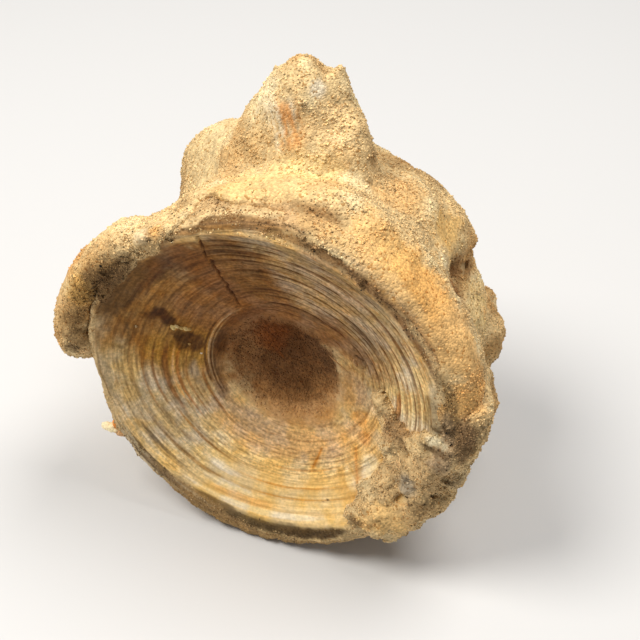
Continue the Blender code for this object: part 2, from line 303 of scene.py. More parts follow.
def ring_relief(ring, degrees):
    """How far the rings stand in or out, in millimetres."""
    round_it = circle(degrees)
    slow = np.column_stack((ring * 0.9, round_it * 1.1))
    fine = np.column_stack((ring * 1.9, round_it * 2.0))
    swell = 0.08 * noise_at(slow) + 0.06 * noise_at(fine, 1.0, 3.0)
    bold = np.zeros(len(ring))
    for n, (radius, width, drop) in enumerate(BOLD_STEPS):
        broken = 0.8 * noise_at(round_it * 2.6 @ np.eye(2, 3), 1.0, 30.0 + n)
        broken += 0.6 * noise_at(round_it * 9.0 @ np.eye(2, 3), 1.0, 60.0 + n)
        off = (ring - radius) / width
        bold -= np.exp(-off * off) * drop * np.clip(0.8 + broken, 0.05, 1.5)
    return swell + bold


def ridge_relief(radius, degrees):
    """How far the two ridges by the pit stand up, in millimetres."""
    off = np.abs(wrapped(degrees - 170.0))
    rise = sum(up * np.exp(-((radius - r) / width) ** 2) for r, width, up in RIDGES)
    return rise * (1.0 - step(off, 34.0, 52.0))


def on_disc(radius, degrees):
    return circle(degrees) * np.asarray(radius)[:, None]


def gap_to(place, line):
    """How far places on the disc lie from a line of radius and degrees."""
    corners = on_disc(*np.array(line, float).T)
    near = np.full(len(place), np.inf)
    for start, end in zip(corners, corners[1:]):
        run = end - start
        share = np.clip((place - start) @ run / (run @ run), 0.0, 1.0)
        gap = np.linalg.norm(place - start - share[:, None] * run, axis=1)
        near = np.minimum(near, gap)
    return near


def crack_relief(radius, degrees):
    """How deep the cracks cut, in millimetres."""
    place = on_disc(radius, degrees)
    sway = np.column_stack((place, np.zeros(len(place))))
    place[:, 0] += 0.5 * noise_at(sway, 0.7, 15.0) + 0.2 * noise_at(sway, 2.2, 16.0)
    cut = np.zeros(len(radius))
    for width, depth, line in CRACKS:
        cut = np.minimum(cut, -depth * np.exp(-(gap_to(place, line) / width) ** 2))
    return cut


def sharpness(degrees):
    """How strongly the rings stand out round the dish."""
    table = (
        (-180, 0.22), (-150, 0.22), (-120, 0.2), (-60, 0.2), (-30, 0.3), (-8, 0.5),
        (15, 0.75), (40, 1.0), (75, 0.95), (97, 0.72), (109, 0.66), (115, 0.25),
        (150, 0.2), (180, 0.25),
    )
    return between(table, wrapped(degrees))


# Stains along the growth bands of the bone: radius and degrees of the middle, reach in
# each, colour and strength. A later one lies over an earlier one.
BAND_STAINS = (
    (14, 125, 15, 90, (150, 108, 66), 1),
    (6, 115, 12, 90, (150, 106, 66), 1),
    (4, 0, 6.5, 800, (144, 100, 58), 1),
    (15.5, -45, 3, 34, (222, 178, 118), 0.95),
    (24, -95, 9, 62, (235, 201, 138), 1),
    (23, -128, 5, 20, (238, 217, 172), 0.6),
    (21, -150, 8, 26, (206, 186, 152), 0.9),
    (24, 174, 6, 16, (163, 112, 50), 0.9),
    (19, 178, 5, 24, (186, 140, 64), 0.9),
    (26.5, -170, 3, 16, (212, 186, 138), 0.8),
    (25, 150, 9, 24, (169, 123, 66), 0.9),
    (27.6, 136, 1.6, 26, (112, 72, 40), 0.85),
    (18, 140, 6, 20, (160, 116, 74), 0.9),
    (22, 120, 9, 12, (144, 98, 56), 1),
    (22, 104, 9, 13, (144, 104, 60), 0.9),
    (21, 70, 11, 24, (198, 168, 128), 1),
    (20, 30, 9, 26, (206, 180, 144), 0.9),
    (15.6, 48, 2, 34, (154, 118, 80), 0.9),
    (28.3, 70, 1.1, 34, (170, 148, 116), 0.8),
    (25, 10, 5, 24, (238, 216, 174), 0.9),
    (20, -2, 8, 18, (244, 222, 174), 0.95),
    (22, -40, 7, 18, (217, 178, 115), 0.9),
    (15.5, -9, 3, 14, (224, 188, 132), 0.9),
    (14, -22, 1.2, 8, (232, 176, 104), 0.8),
    (15, -100, 3.5, 54, (214, 178, 134), 0.9),
    (13.5, 180, 2, 50, (122, 84, 50), 0.8),
    (13, 66, 2.4, 50, (146, 104, 66), 0.8),
    (4, 92, 5.6, 75, (110, 66, 29), 1),
    (6.5, -70, 4.6, 80, (160, 114, 66), 0.9),
    (10.2, -70, 2.4, 62, (200, 152, 98), 0.8),
    (2, 0, 4.8, 800, (104, 67, 34), 0.8),
    (7.3, 32, 2.6, 40, (112, 76, 44), 0.85),
    (18.5, 44, 3, 17, (176, 146, 104), 0.8),
    (11.8, 0, 2, 26, (190, 150, 102), 0.8),
    (6, 124, 4.2, 40, (132, 70, 22), 0.65),
    # Rusty rings at the lower left, and pale ones between them.
    (23.6, -166, 0.22, 22, (150, 104, 54), 0.6),
    (22.2, -164, 0.26, 22, (156, 106, 52), 0.65),
    (20.6, -168, 0.42, 26, (150, 94, 40), 0.8),
    (19.6, -163, 0.2, 28, (216, 172, 116), 0.8),
    (19, -162, 0.28, 28, (164, 102, 44), 0.75),
    (17.9, -160, 0.2, 28, (146, 96, 46), 0.65),
    (17, -160, 0.9, 16, (192, 166, 128), 0.8),
    (15.7, -150, 0.3, 22, (140, 92, 42), 0.8),
    (21.6, -128, 0.3, 22, (176, 128, 66), 0.7),
    (25.4, -120, 0.35, 26, (170, 130, 74), 0.75),
    (27, -134, 0.3, 14, (120, 98, 70), 0.8),
    (28, -142, 0.35, 18, (228, 208, 172), 0.8),
    (26, -104, 0.9, 12, (248, 232, 196), 0.8),
    (23.5, -112, 0.8, 9, (238, 222, 190), 0.7),
    (28.2, -96, 0.45, 26, (246, 226, 186), 0.85),
    (22.9, -82, 0.22, 26, (206, 146, 70), 0.8),
    (25, -78, 0.22, 24, (212, 156, 78), 0.8),
    (19.4, -76, 0.22, 22, (206, 152, 84), 0.7),
    # Orange between the pale rings at the lower right.
    (20.6, 4, 0.7, 8, (206, 140, 66), 0.8),
    (22.6, 6, 0.25, 16, (120, 78, 38), 0.7),
    (24.4, 4, 0.25, 14, (128, 86, 46), 0.7),
    (27.9, 8, 2, 10, (160, 138, 100), 0.8),
)

# Marks that keep to no band: radius, degrees, reach in each, colour and strength.
MARKS = (
    (14.9, 171, 0.18, 48, (84, 54, 30), 0.8),
    (14.2, 171, 0.34, 46, (190, 158, 120), 0.9),
    (13.75, 171, 0.16, 44, (92, 60, 34), 0.8),
    (13.35, 173, 0.28, 40, (174, 142, 104), 0.85),
    (12.4, 128, 1.6, 26, (122, 80, 46), 0.9),
    (11.6, 169, 1.5, 15, (100, 66, 36), 0.9),
    (12, -166, 1.6, 15, (160, 124, 82), 0.5),
    (16.2, 171, 1.5, 8, (100, 64, 34), 0.85),
    (17.9, 173, 1.4, 6, (100, 66, 32), 0.85),
    (20.6, 160.5, 1.2, 4.2, (74, 44, 26), 0.9),
    (21.8, 157, 1.3, 4, (78, 46, 28), 0.9),
    (22.6, 160.5, 1, 3, (84, 52, 30), 0.8),
    (18.3, 169, 1.1, 4.6, (84, 54, 24), 0.85),
    (17.3, 166.5, 0.7, 2.6, (90, 58, 28), 0.8),
    (24.6, -64, 0.28, 0.7, (92, 66, 38), 0.9),
    (24.9, -66, 0.16, 0.4, (110, 80, 46), 0.8),
    (16.5, -31, 1.9, 5, (208, 150, 84), 0.7),
    (21.8, -37.5, 3.2, 7, (250, 232, 190), 0.9),
    (21.6, -51, 2.6, 2.6, (244, 220, 174), 0.75),
    (26.2, 127, 0.3, 6, (84, 54, 32), 0.6),
    (24.2, 133, 0.25, 8, (92, 62, 36), 0.5),
)

# Thin streaks: width, colour, strength, and the radius and degrees of each point.
STREAKS = (
    (0.28, (208, 144, 76), 0.75, (
        (17, -40.5), (18.9, -43.8), (20.6, -46), (23, -47.8), (24.6, -48.8),
    )),
    (0.24, (184, 120, 40), 0.9, ((15.4, -65.2), (17, -68.2), (18.6, -70.8))),
    (0.42, (196, 136, 60), 0.6, ((17.2, -68.6), (18.8, -71))),
    (0.28, (112, 86, 50), 0.6, (
        (27.9, 178), (26.6, 180), (25.4, 179), (24.7, 175), (25.2, 167),
    )),
    (0.16, (104, 70, 44), 0.8, ((24.4, 150), (25.2, 140), (25.8, 128))),
)

# Stains on the rim of the bone, outside its dish.
EDGE_STAINS = (
    (31.2, -109, 2.6, 22, (156, 124, 82), 0.9),
    (30.6, -69, 1.5, 13, (92, 70, 43), 0.95),
    (30.2, -83, 1.3, 12, (92, 71, 43), 0.95),
    (29.9, -95, 0.9, 10, (104, 84, 54), 0.9),
    (29.1, -107, 0.5, 9, (124, 100, 66), 0.85),
    (32.2, -93, 0.7, 15, (190, 152, 100), 0.8),
    (27, -97, 0.8, 14, (234, 184, 122), 0.6),
    (28, -86, 0.45, 22, (248, 226, 180), 0.8),
    (31.8, -84, 0.35, 9, (150, 120, 78), 0.8),
    (31.6, -104, 0.35, 9, (142, 112, 72), 0.8),
    (30.3, -116, 0.22, 12, (186, 162, 124), 0.8),
    (31.9, -122, 0.25, 12, (178, 152, 112), 0.8),
    (31, -132, 1.4, 14, (136, 112, 82), 0.85),
    (32.3, -138, 0.35, 20, (214, 194, 156), 0.8),
    (31.4, -140, 0.3, 14, (90, 70, 46), 0.8),
    (29.7, -136, 0.3, 14, (86, 68, 46), 0.8),
    (30.4, -143, 0.3, 10, (206, 190, 156), 0.7),
    (33.3, -96, 1.1, 40, (176, 142, 92), 0.9),
    (34.6, -100, 0.5, 44, (124, 98, 62), 0.8),
    (35.6, -100, 0.9, 60, (222, 184, 128), 0.9),
    (32.4, 99, 2.2, 18, (158, 120, 76), 0.95),
    (34, 104, 1.2, 12, (128, 96, 58), 0.95),
    (31, 100, 0.25, 12, (206, 176, 130), 0.8),
    (33, 97, 0.25, 14, (104, 76, 48), 0.8),
    (29.7, 98, 0.8, 24, (250, 212, 152), 0.95),
)

# Belts of sand and bone that run round the rim, on bone and stone alike.
RIM_STAINS = (
    (33, 92, 1.5, 16, (198, 162, 116), 0.9),
    (34.7, 78, 1.7, 8, (150, 112, 68), 0.9),
    (31, 74, 1.2, 16, (172, 134, 88), 0.95),
    (30.8, 56, 1.5, 16, (150, 114, 74), 0.95),
    (29.3, 62, 0.5, 38, (218, 178, 126), 0.9),
    (29.7, 38, 0.7, 16, (146, 108, 68), 0.9),
    (31.3, 36, 0.8, 12, (218, 182, 130), 0.9),
    (32.1, 40, 0.5, 10, (176, 132, 84), 0.8),
    (32.7, 56, 0.5, 18, (214, 180, 132), 0.8),
    (33.6, 60, 0.8, 24, (236, 194, 132), 0.8),
    (31.4, 17, 1.5, 11, (154, 124, 80), 0.85),
    (30.6, 1, 1.7, 13, (176, 148, 112), 0.9),
    (28.6, 3.4, 1.5, 1.4, (92, 70, 42), 0.9),
    (30.8, 5.8, 1.7, 1.5, (92, 70, 42), 0.9),
    (28.4, -3, 1.7, 1.3, (98, 76, 48), 0.85),
    (30.6, -1.8, 1.6, 1, (112, 88, 58), 0.75),
    (29.2, 0.8, 2.2, 1.5, (232, 216, 176), 0.85),
    (33.6, 3, 1.6, 9, (150, 118, 82), 0.8),
    (29, 151, 2.2, 18, (124, 94, 60), 0.95),
    (32.6, 111, 1.1, 9, (140, 106, 68), 0.85),
)

# Where the sand on the rim begins: degrees and radius. Where it is worn off: degrees of
# the middle, reach and share.
SANDY_FROM = ((-180, 29), (-8, 29), (0, 27), (12, 26.8), (24, 29), (180, 29))
WORN_OFF = ((-142, 26, 0.75), (98, 15, 0.95))

# The smoother stretch at the bottom of the dish, where its fine lines are fainter: the
# degrees of its middle, and its reach.
CALM_MIDDLE = -68.0
CALM_REACH = 62.0

# The ground colours of the bone in its dish, and on its side.
BONE_GROUND = (214, 184, 134)
SIDE_GROUND = (206, 172, 122)


def stained(tint, ring, degrees, points, stains):
    """Lays stains that are given by radius and degrees over a tint."""
    ragged = 0.25 * noise_at(points, 0.35, 11.0) + 0.2 * noise_at(points, 0.9, 13.0)
    for radius, middle, reach, spread, colour, strength in stains:
        off = ((ring - radius) / reach) ** 2 + (wrapped(degrees - middle) / spread) ** 2
        share = step(1.25 + ragged - off, 0.0, 1.0)
        tint = mixed(tint, colour, strength * share)
    return tint


def bone_tint(ring, radius, degrees, points):
    """The colour of the bone before its fine lines are drawn."""
    tint = np.tile(linear(*BONE_GROUND), (len(ring), 1))
    tint = mixed(tint, SIDE_GROUND, step(ring, 35.0, 38.0))
    tint = stained(tint, ring, degrees, points, BAND_STAINS)
    tint = stained(tint, radius, degrees, points, MARKS)
    place = on_disc(radius, degrees)
    ragged = 1.0 + 0.35 * noise_at(points, 1.2, 17.0)
    for width, colour, strength, line in STREAKS:
        near = np.exp(-(gap_to(place, line) / (width * ragged)) ** 2)
        tint = mixed(tint, colour, strength * near)
    return stained(tint, ring, degrees, points, RIM_STAINS + EDGE_STAINS)


def sandiness(growth, radius, degrees, points):
    """How much sand covers the bone, from 0 to 1: in the pit and on the rim."""
    kept = np.ones(len(points))
    for middle, reach, share in WORN_OFF:
        kept -= share * np.exp(-(wrapped(degrees - middle) / reach) ** 2)
    start = between(SANDY_FROM, wrapped(degrees)) + 0.6 * noise_at(points, 0.8, 19.0)
    rim = step(growth - start, 0.0, 1.2) * np.clip(kept, 0.0, 1.0)
    rim = np.maximum(rim, step(growth, 32.2, 33.0))
    return np.maximum(1.0 - step(radius, 7.5, 13.0), rim)


def pushed(points, pushes):
    """Points moved by pushes that each fade with distance."""
    for middle, reach, push in pushes:
        near = np.exp(-reaches_off(points, middle, reach) ** 2)
        points = points + near[:, None] * np.array(push)
    return points


def turned_bone():
    """The bone's fine mesh, still smooth, with each point's place along the section."""
    profile = section()
    mesh = spun(profile, SLICES)
    bm = bmesh.new()
    bm.from_mesh(mesh)
    bmesh.ops.remove_doubles(bm, verts=bm.verts, dist=0.0005)
    bmesh.ops.recalc_face_normals(bm, faces=bm.faces)
    bm.to_mesh(mesh)
    bm.free()
    number = np.empty(len(mesh.vertices), np.float32)
    mesh.attributes["along"].data.foreach_get("value", number)
    mesh.attributes.remove(mesh.attributes["along"])
    return mesh, profile, np.round(number).astype(int)


def outward(profile):
    """The section's own normals, pointing out of the bone."""
    run = np.gradient(profile, axis=0)
    normal = np.column_stack((-run[:, 1], run[:, 0]))
    return normal / np.linalg.norm(normal, axis=1)[:, None]


def make_bone():
    mesh, profile, number = turned_bone()
    points = get_points(mesh)
    radius, height = profile[number].T
    turned = np.degrees(np.arctan2(points[:, 1], points[:, 0]))
    shift = CLOSER * np.sin(2.0 * np.radians(turned - SEAM_MIDDLE))
    degrees = wrapped(turned - shift)
    out = circle(degrees)
    edge = int(np.argmin(np.hypot(profile[:, 0] - DISH_RADIUS, profile[:, 1])))
    in_dish = number <= edge

    ring = ring_coordinate(radius, degrees)
    cracks = np.where(in_dish, crack_relief(radius, degrees), 0.0)
    relief = ring_relief(ring, degrees)
    facing = outward(profile)[number]
    in_pit = 1.0 - step(radius, 9.5, 12.5)
    rise = relief * sharpness(degrees) * (1.0 - in_pit)
    rise = rise * np.where(in_dish, 1.0, 0.6) + cracks
    rise += np.where(in_dish, ridge_relief(radius, degrees), 0.0)
    rough = noise_at(points, 0.9) * 0.22 + noise_at(points, 0.35, 5.0) * 0.35
    rise += np.where(in_dish, in_pit * rough, step(radius, 28.8, 30.5) * rough)

    # Where a round bone's point goes on the uneven one.
    outer = rim_outline(degrees)
    wear_at = np.column_stack((out * 2.5, height / 7.0))
    wear = RIM_WEAR * noise_at(wear_at)
    on_rim = height > -DISH_DEPTH
    across = (radius - DISH_RADIUS) / (RIM_RADIUS - DISH_RADIUS)
    share = (-height - DISH_DEPTH) / (LENGTH - DISH_DEPTH)
    rim_place = DISH_RADIUS + across * (outer - DISH_RADIUS)
    rim_place += wear * np.clip(3.0 * across, 0.0, 1.0)
    body_place = radius * (1.0 + (1.0 - 0.9 * share) * (outer / RIM_RADIUS - 1.0)) + wear
    place = np.where(in_dish, radius, np.where(on_rim, rim_place, body_place))
    place = place + facing[:, 0] * rise
    local = np.column_stack((out * place[:, None], height + facing[:, 1] * rise))
    for column in (1, 2):
        drift = between(RING_DRIFT, radius, column)
        local[:, column - 1] += np.where(in_dish, drift, 0.0)
    local[:, 1] += np.where(in_dish | on_rim, 0.0, REAR_LIFT * share)
    world = pushed(disc_to_world(local) / MM, DENTS) * MM
    world[:, 2] = np.maximum(world[:, 2], 0.0)
    set_points(mesh, world)

    run = np.concatenate(([0.0], np.cumsum(np.hypot(*np.diff(profile, axis=0).T))))
    reach = np.where(in_dish, radius, DISH_RADIUS + run[number] - run[edge])
    growth = ring - radius + reach
    store(mesh, "growth", np.column_stack((growth, out)), "FLOAT_VECTOR")
    store(mesh, "relief", relief)
    store(mesh, "cracked", np.clip(-3.0 * cracks, 0.0, 1.0))
    store(mesh, "tint", bone_tint(growth, reach, degrees, local), "FLOAT_COLOR")
    sandy = sandiness(growth, radius, degrees, local)
    store(mesh, "sandy", sandy)
    calm = step(CALM_REACH - np.abs(wrapped(degrees - CALM_MIDDLE)), 0.0, 24.0)
    calm *= step(growth, 19.5, 22.5)
    lined = (1.0 - sandy) * np.clip(sharpness(degrees), 0.4, 1.1)
    store(mesh, "lined", lined * (1.0 - 0.45 * calm))
    mesh.shade_smooth()
    return add_piece("vertebra_bone", mesh)


def merged_copy(node):
    """A CAD node's mesh as a bmesh, in world space, with its doubles merged."""
    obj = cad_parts[node]
    bm = bmesh.new()
    bm.from_mesh(obj.data)
    bm.transform(obj.matrix_world)
    bmesh.ops.remove_doubles(bm, verts=bm.verts, dist=0.00001)
    return bm


def baked(obj):
    """Turns an object's modifiers into plain mesh."""
    graph = bpy.context.evaluated_depsgraph_get()
    mesh = bpy.data.meshes.new_from_object(obj.evaluated_get(graph))
    obj.modifiers.clear()
    obj.data = mesh


# Sandy cement that laps over the edge of the rim: degrees, and how far inside the
# outline its middle lies.
CEMENT = ((6, 1.7), (60, 1.7), (80, 0.9), (86, 0), (112, 0), (118, 0.8), (158, 0.9))
CEMENT_DEPTHS = (1.6, 4.2, 6.8)

# Sandy stone that laps onto the face of the rim: radius, degrees and depth.
LAPS = (
    (30.6, -15, 0.2), (30.9, -10.5, 0.2), (31.3, -6, 0.2), (31.6, -1.5, 0.2),
    (31.8, 3, 0.2), (32.2, 7.5, 0.2), (30, -37, 0.5), (32.2, -34, 1),
    (31.6, -25, 0.6), (32, -29.5, 1.4),
)

# Stone that fills the hollows between the lumps: middle and half-widths in millimetres.
FILLS = (
    ((1, -12, 62.5), (9, 6.5, 4.6)),
    ((7.5, -11, 62), (7, 7, 4.6)),
    ((-6.5, -10.5, 60.5), (8, 6, 4)),
    ((0.5, -6, 67.5), (7.5, 4, 5)),
    ((-5, -4.5, 66), (6.5, 4.5, 6)),
    ((-10, -2.5, 61.5), (6, 5, 5.5)),
    ((6, -3.5, 67.5), (5, 4.5, 6.5)),
    ((14.5, -11, 58.5), (7, 6, 5)),
    ((20, -9, 53), (5.5, 6.5, 5.5)),
    ((14, -3, 58.5), (8, 6, 5)),
    ((24, 4, 36), (6.5, 6, 8)),
    ((-3.2, -17, 65.5), (8, 3.2, 1.9)),
    ((8, 2.2, 61.6), (3.6, 3.6, 3.6)),
    ((25.5, -15, 43), (3.6, 4.5, 7.5)),
    ((25.8, -14.5, 28), (3.2, 4.5, 6)),
    ((17.8, 7.6, 39.5), (3.5, 3, 3.5)),
    ((-25.2, 5.2, 36), (4.2, 4.2, 9.5)),
    ((-5, 7, 57.5), (4.8, 4, 4)),
    ((16, 7, 54), (4, 4, 4)),
    ((22.6, 6, 43.5), (3.2, 3.8, 4.2)),
    ((24.3, -12.8, 49.5), (3, 4.5, 3.5)),
)

# How far the stone has worn in from the rim: degrees and millimetres.
WEAR = (
    (-85, 0), (-62, 1.5), (-45, 0.9), (-30, 0.5), (-20, 1.4), (-12, 1.9), (-5, 1.1),
    (3, 0.4), (14, 0.8), (30, 0),
)

# Where the stone has worn in or stands out: the middle, the reach and the push.
PUSHES = (
    ((-7, -1.5, 75), 3.4, (0.3, 0.4, -0.1)),
    ((-4.8, -5.5, 70.5), 3.2, (0.3, 1.2, -0.2)),
    ((4.8, -4.5, 71), 3, (-0.3, 0.9, 0)),
    ((6.5, 0, 71.5), 3, (0.7, 0, 0.3)),
    ((-1.5, -1, 79), 2.6, (-0.3, 0, 0.8)),
    ((2, 0.8, 79.4), 1.5, (0, 0, -3)),
    ((1.4, 2.2, 77.8), 1.8, (0.3, -0.9, -1.2)),
    ((8.6, 6.8, 62.6), 4.4, (-0.5, -1.2, -1.1)),
    ((23, 7.4, 51.1), 3.4, (-0.4, -0.6, -0.4)),
    ((26.3, 3.5, 45.8), 3, (-1.1, -0.4, 0)),
    ((26.4, 4.5, 48.2), 1.6, (0.8, 0.3, 0)),
    ((24.9, 5, 47.6), 1.8, (1.9, 0.6, 0.2)),
    ((25.8, -8.5, 52), 2.8, (-1.6, -0.5, -0.3)),
    ((27.9, 4.2, 40.4), 2.4, (-0.6, -0.2, 0)),
    ((36, -18, 37), 3.4, (-1.3, -0.1, 0)),
    ((-24.5, -11.4, 53), 3, (0.5, 0, -0.9)),
    ((29.2, 9.8, 34.5), 5, (-1.7, -1.2, -0.8)),
    ((34, -15.5, 40.8), 4, (-0.7, -0.2, 0)),
    ((-19.6, -19.4, 60.1), 3.4, (0.5, -0.3, -0.5)),
    ((-19.6, -17, 61.5), 3.4, (0.3, -0.5, -1)),
    ((31.2, 6.5, 31.5), 2.6, (0.9, 0.3, 0)),
    ((-30.1, -26.6, 36.6), 2.2, (-0.6, 0.2, 0)),
    ((-21.7, -24.2, 57.8), 0.9, (0, 1.2, -0.3)),
    ((-21.3, -23.2, 58.9), 0.9, (0, 1.2, -0.3)),
    ((-35, -27.6, 33.6), 2.4, (0.4, 0, 0.6)),
    ((-5.8, -0.5, 76.5), 2.2, (-0.4, 0, 0.2)),
    ((-10.4, -0.5, 69.2), 3, (-0.9, 0, 0.4)),
    ((9.6, -1.8, 67.3), 2.6, (0.3, -1, 0.9)),
    ((12.1, -5, 62.7), 3, (0.2, -0.8, 0.8)),
    ((3.5, 0.6, 77.5), 1.8, (-0.1, 0, 2.2)),
    ((12.5, 1, 65), 5, (-0.6, 0, -1.5)),
    ((10.4, 4, 67.2), 4.4, (-2.2, 0, -3)),
    ((21, 5, 57), 6, (-0.2, 0, -0.3)),
    ((-23.2, -13.2, 56.2), 3.6, (1.3, 0.3, -2.2)),
    ((30, 7, 42.5), 5.4, (-5, 0, -0.3)),
    ((31.5, 8.5, 35.5), 3.6, (-2.2, 0, 0)),
    ((17.6, -23.4, 23.5), 3.2, (1.9, -0.4, 0)),
    ((17.5, -21, 30), 3, (1.4, 0, 0.4)),
    ((18.5, -31.5, 8.5), 4, (0, 1.5, 1)),
    ((22.5, -26.5, 28), 1.6, (0, 0.9, 0)),
    ((31.8, -28, 26), 2, (0, 1.1, 0)),
    ((25.4, -28.8, 20.6), 1.5, (0, 0.9, 0)),
    ((31.5, -27.4, 32), 2.6, (0, -0.9, 0)),
    ((25.2, -28.2, 24.4), 2.2, (0, -0.6, 0)),
    ((30.2, -28.2, 32), 2, (0, -0.4, 0)),
    ((-15, 4, 60), 4.5, (0.4, 0, -0.6)),
    ((22.5, -6.5, 51.8), 3.2, (0.6, -1.2, 1.3)),
    ((25, -5, 46), 4.4, (-1.8, 2.6, -0.5)),
    ((30.5, 0, 37), 3.6, (0.6, -0.9, 0.6)),
    ((33, 4, 42.5), 3, (-1.6, 0, -1.8)),
    ((-32.5, -27, 34), 3.6, (1, 0, 2.4)),
    ((-22, -25, 58.8), 1.6, (0.3, 1.1, -0.4)),
    ((-18.2, -24, 60.6), 1.5, (-0.3, -0.9, 0.4)),
    ((26, -28, 23.5), 3, (0, 0.7, 0)),
    ((23, -26.5, 30), 2, (0, 0.8, 0)),
)

# The stone's new skin: the space between its points in millimetres, and the rounds of
# easing for all of it and for its smoother parts.
SKIN_SPACE = 0.58
ROUNDS = 10
MORE_ROUNDS = 60

# Where both the bone's flank and the stone on it are worn in.
DENTS = (
    ((27.4, 3.4, 44), 3.4, (-1.4, -0.3, -0.2)),
    ((24.2, -2.6, 46.8), 3, (-2, -0.9, -0.4)),
)

# The crack between the bone and the lobe of stone on its left.
CRACK_DEGREES = (160.0, 184.0)

# Smooth places on the stone, with few loose grains: the middle and the reach.
SMOOTH_PLACES = (
    ((20.2, -20.9, 62.3), 5.5), ((24.3, -21.9, 58.7), 5.5), ((28, -22.5, 53), 5),
    ((-18, 3.5, 58), 8), ((0.4, -17, 68), 6), ((-9, -19, 66.5), 6),
    ((1.8, -4.2, 78), 2.2), ((-2.2, -7.2, 74), 2.4), ((22, -4, 54), 5.5),
    ((-35, -23, 46), 4.5), ((23.5, -29.4, 15), 4.5), ((8, -6.5, 66), 4),
    ((25.2, -28, 24.2), 2.2), ((30.2, -28, 32.2), 2.2), ((-19, -24.3, 60.2), 1.8),
    ((29, -27.5, 35.6), 1.5), ((-2.1, -7.6, 73), 3.4), ((29.5, -23.5, 51), 4.5),
)

# Stains and some painted shade on the stone: the middle and reach in millimetres, colour
# and strength.
STONE_STAINS_AND_SHADE = (
    ((0.4, -15, 67.5), 10, (236, 200, 140), 0.8),
    ((20.2, -20.9, 62.3), 7.5, (234, 182, 108), 0.95),
    ((24.3, -21.9, 58.7), 6.5, (232, 176, 102), 0.95),
    ((28, -22.5, 53), 5.5, (238, 188, 120), 0.8),
    ((31.5, -24.5, 44.5), 4.8, (240, 186, 112), 0.9),
    ((30.5, -23.5, 51.5), 4.5, (248, 198, 128), 0.9),
    ((15.6, -18.7, 65.7), 5, (234, 188, 120), 0.8),
    ((-7, -17, 67), 6, (240, 202, 136), 0.7),
    ((3, -9, 66), 6, (246, 214, 150), 0.8),
    ((-5.5, -3.5, 74), 4.2, (255, 232, 186), 0.95),
    ((1.8, -4.2, 78), 1.7, (240, 222, 190), 0.9),
    ((-2.2, -7.2, 74.5), 2, (236, 184, 126), 0.9),
    ((-0.6, -7.6, 70.5), 1.8, (238, 184, 118), 0.9),
    ((-20.9, 2.7, 54.7), 9, (228, 200, 148), 0.9),
    ((4.4, -5.8, 73), 4.6, (250, 214, 156), 0.8),
    ((-7.7, -6.1, 66), 4.6, (218, 178, 118), 0.7),
    ((14.5, -5, 60.7), 6, (216, 170, 108), 0.7),
    ((22, -3, 55), 6, (248, 200, 122), 0.8),
    ((10.3, -15, 66.8), 2.2, (252, 234, 190), 0.8),
    ((22.9, -10, 55.5), 2.2, (252, 234, 190), 0.8),
    # Brown stone in the hollow under the brow, made darker still with painted shade.
    ((25.5, -4.5, 46.5), 4.2, (160, 112, 62), 0.95),
    ((29, -1, 40), 6, (250, 216, 152), 0.8),
    ((30.5, 1, 38), 1.8, (232, 168, 92), 0.8),
    ((-28.2, -26.1, 47.8), 5.5, (240, 190, 108), 0.9),
    ((-26.5, -26, 52.5), 5, (200, 156, 96), 0.8),
    ((-33.5, -22.5, 50), 4.5, (230, 174, 106), 0.9),
    ((-35.5, -24, 43), 4.5, (226, 184, 126), 0.9),
    ((-19.4, -24.3, 60.2), 1.8, (248, 220, 172), 0.85),
    ((-16.6, -23.6, 61.4), 1.6, (240, 184, 112), 0.8),
    ((24.6, -28.6, 21), 7, (216, 180, 126), 0.8),
    ((21.5, -24, 31.5), 4, (172, 136, 92), 0.9),
    ((29, -28.4, 27.8), 6, (206, 172, 122), 0.8),
    ((32.5, -27, 37.5), 4, (156, 122, 80), 0.9),
    ((23, -29.6, 15.5), 4.6, (250, 206, 136), 1),
    ((19, -29.4, 14), 2.6, (246, 200, 130), 0.9),
    ((25.2, -28, 24.2), 2.4, (192, 172, 142), 1),
    ((30.2, -28, 32.2), 2.4, (176, 150, 118), 0.95),
    ((28, -27.3, 35.5), 1.2, (246, 232, 196), 1),
    ((30.2, -27.6, 35.7), 1.2, (240, 226, 188), 1),
    ((21.5, -27, 26.5), 2.4, (214, 166, 116), 0.8),
    ((33, -28, 27), 3, (176, 148, 108), 0.8),
    # Painted shadow: a dark line under the grey flat of the crust above it.
    ((29, -29, 21), 2.6, (160, 130, 88), 0.8),
    ((23.4, -28.8, 20.9), 0.8, (104, 80, 50), 0.9),
    ((26.2, -29, 20.6), 0.8, (104, 80, 50), 0.9),
    ((27.4, -27.6, 34), 0.8, (100, 76, 48), 0.9),
    ((28.8, -27.9, 34), 0.8, (100, 76, 48), 0.9),
    ((30.2, -28.1, 34.1), 0.8, (100, 76, 48), 0.9),
    ((17.5, -28.5, 13.5), 1.8, (132, 102, 66), 0.8),
    ((-29, -26.5, 46.8), 3.6, (176, 136, 76), 0.9),
    ((-31.6, -27.2, 41), 3.2, (150, 116, 72), 0.9),
    ((-31.6, -27.5, 37.4), 2.8, (150, 118, 76), 0.85),
    ((-26.8, -25.8, 50.5), 3.2, (130, 100, 64), 0.8),
    ((-32.8, -27.4, 35), 1.7, (112, 86, 54), 0.8),
    ((-30.8, -26.8, 33.6), 1.5, (236, 200, 146), 0.8),
    ((-21.8, -24, 58.2), 0.8, (110, 84, 54), 0.8),
    # Painted shade under the overhanging brow.
    ((24.6, -1, 47), 2.8, (150, 108, 64), 0.85),
    ((25.8, 2.2, 45.2), 2.2, (146, 110, 70), 0.8),
)

# The stone's ground colour, its patches, and the ribs with the gaps between them.
STONE_GROUND = (228, 196, 142)
WARM_PATCH = (212, 164, 100)
PALE_PATCH = (246, 222, 172)
DARK_PATCH = (176, 140, 92)
RIB_TOP = (255, 238, 202)
RIB_GAP = (234, 168, 100)

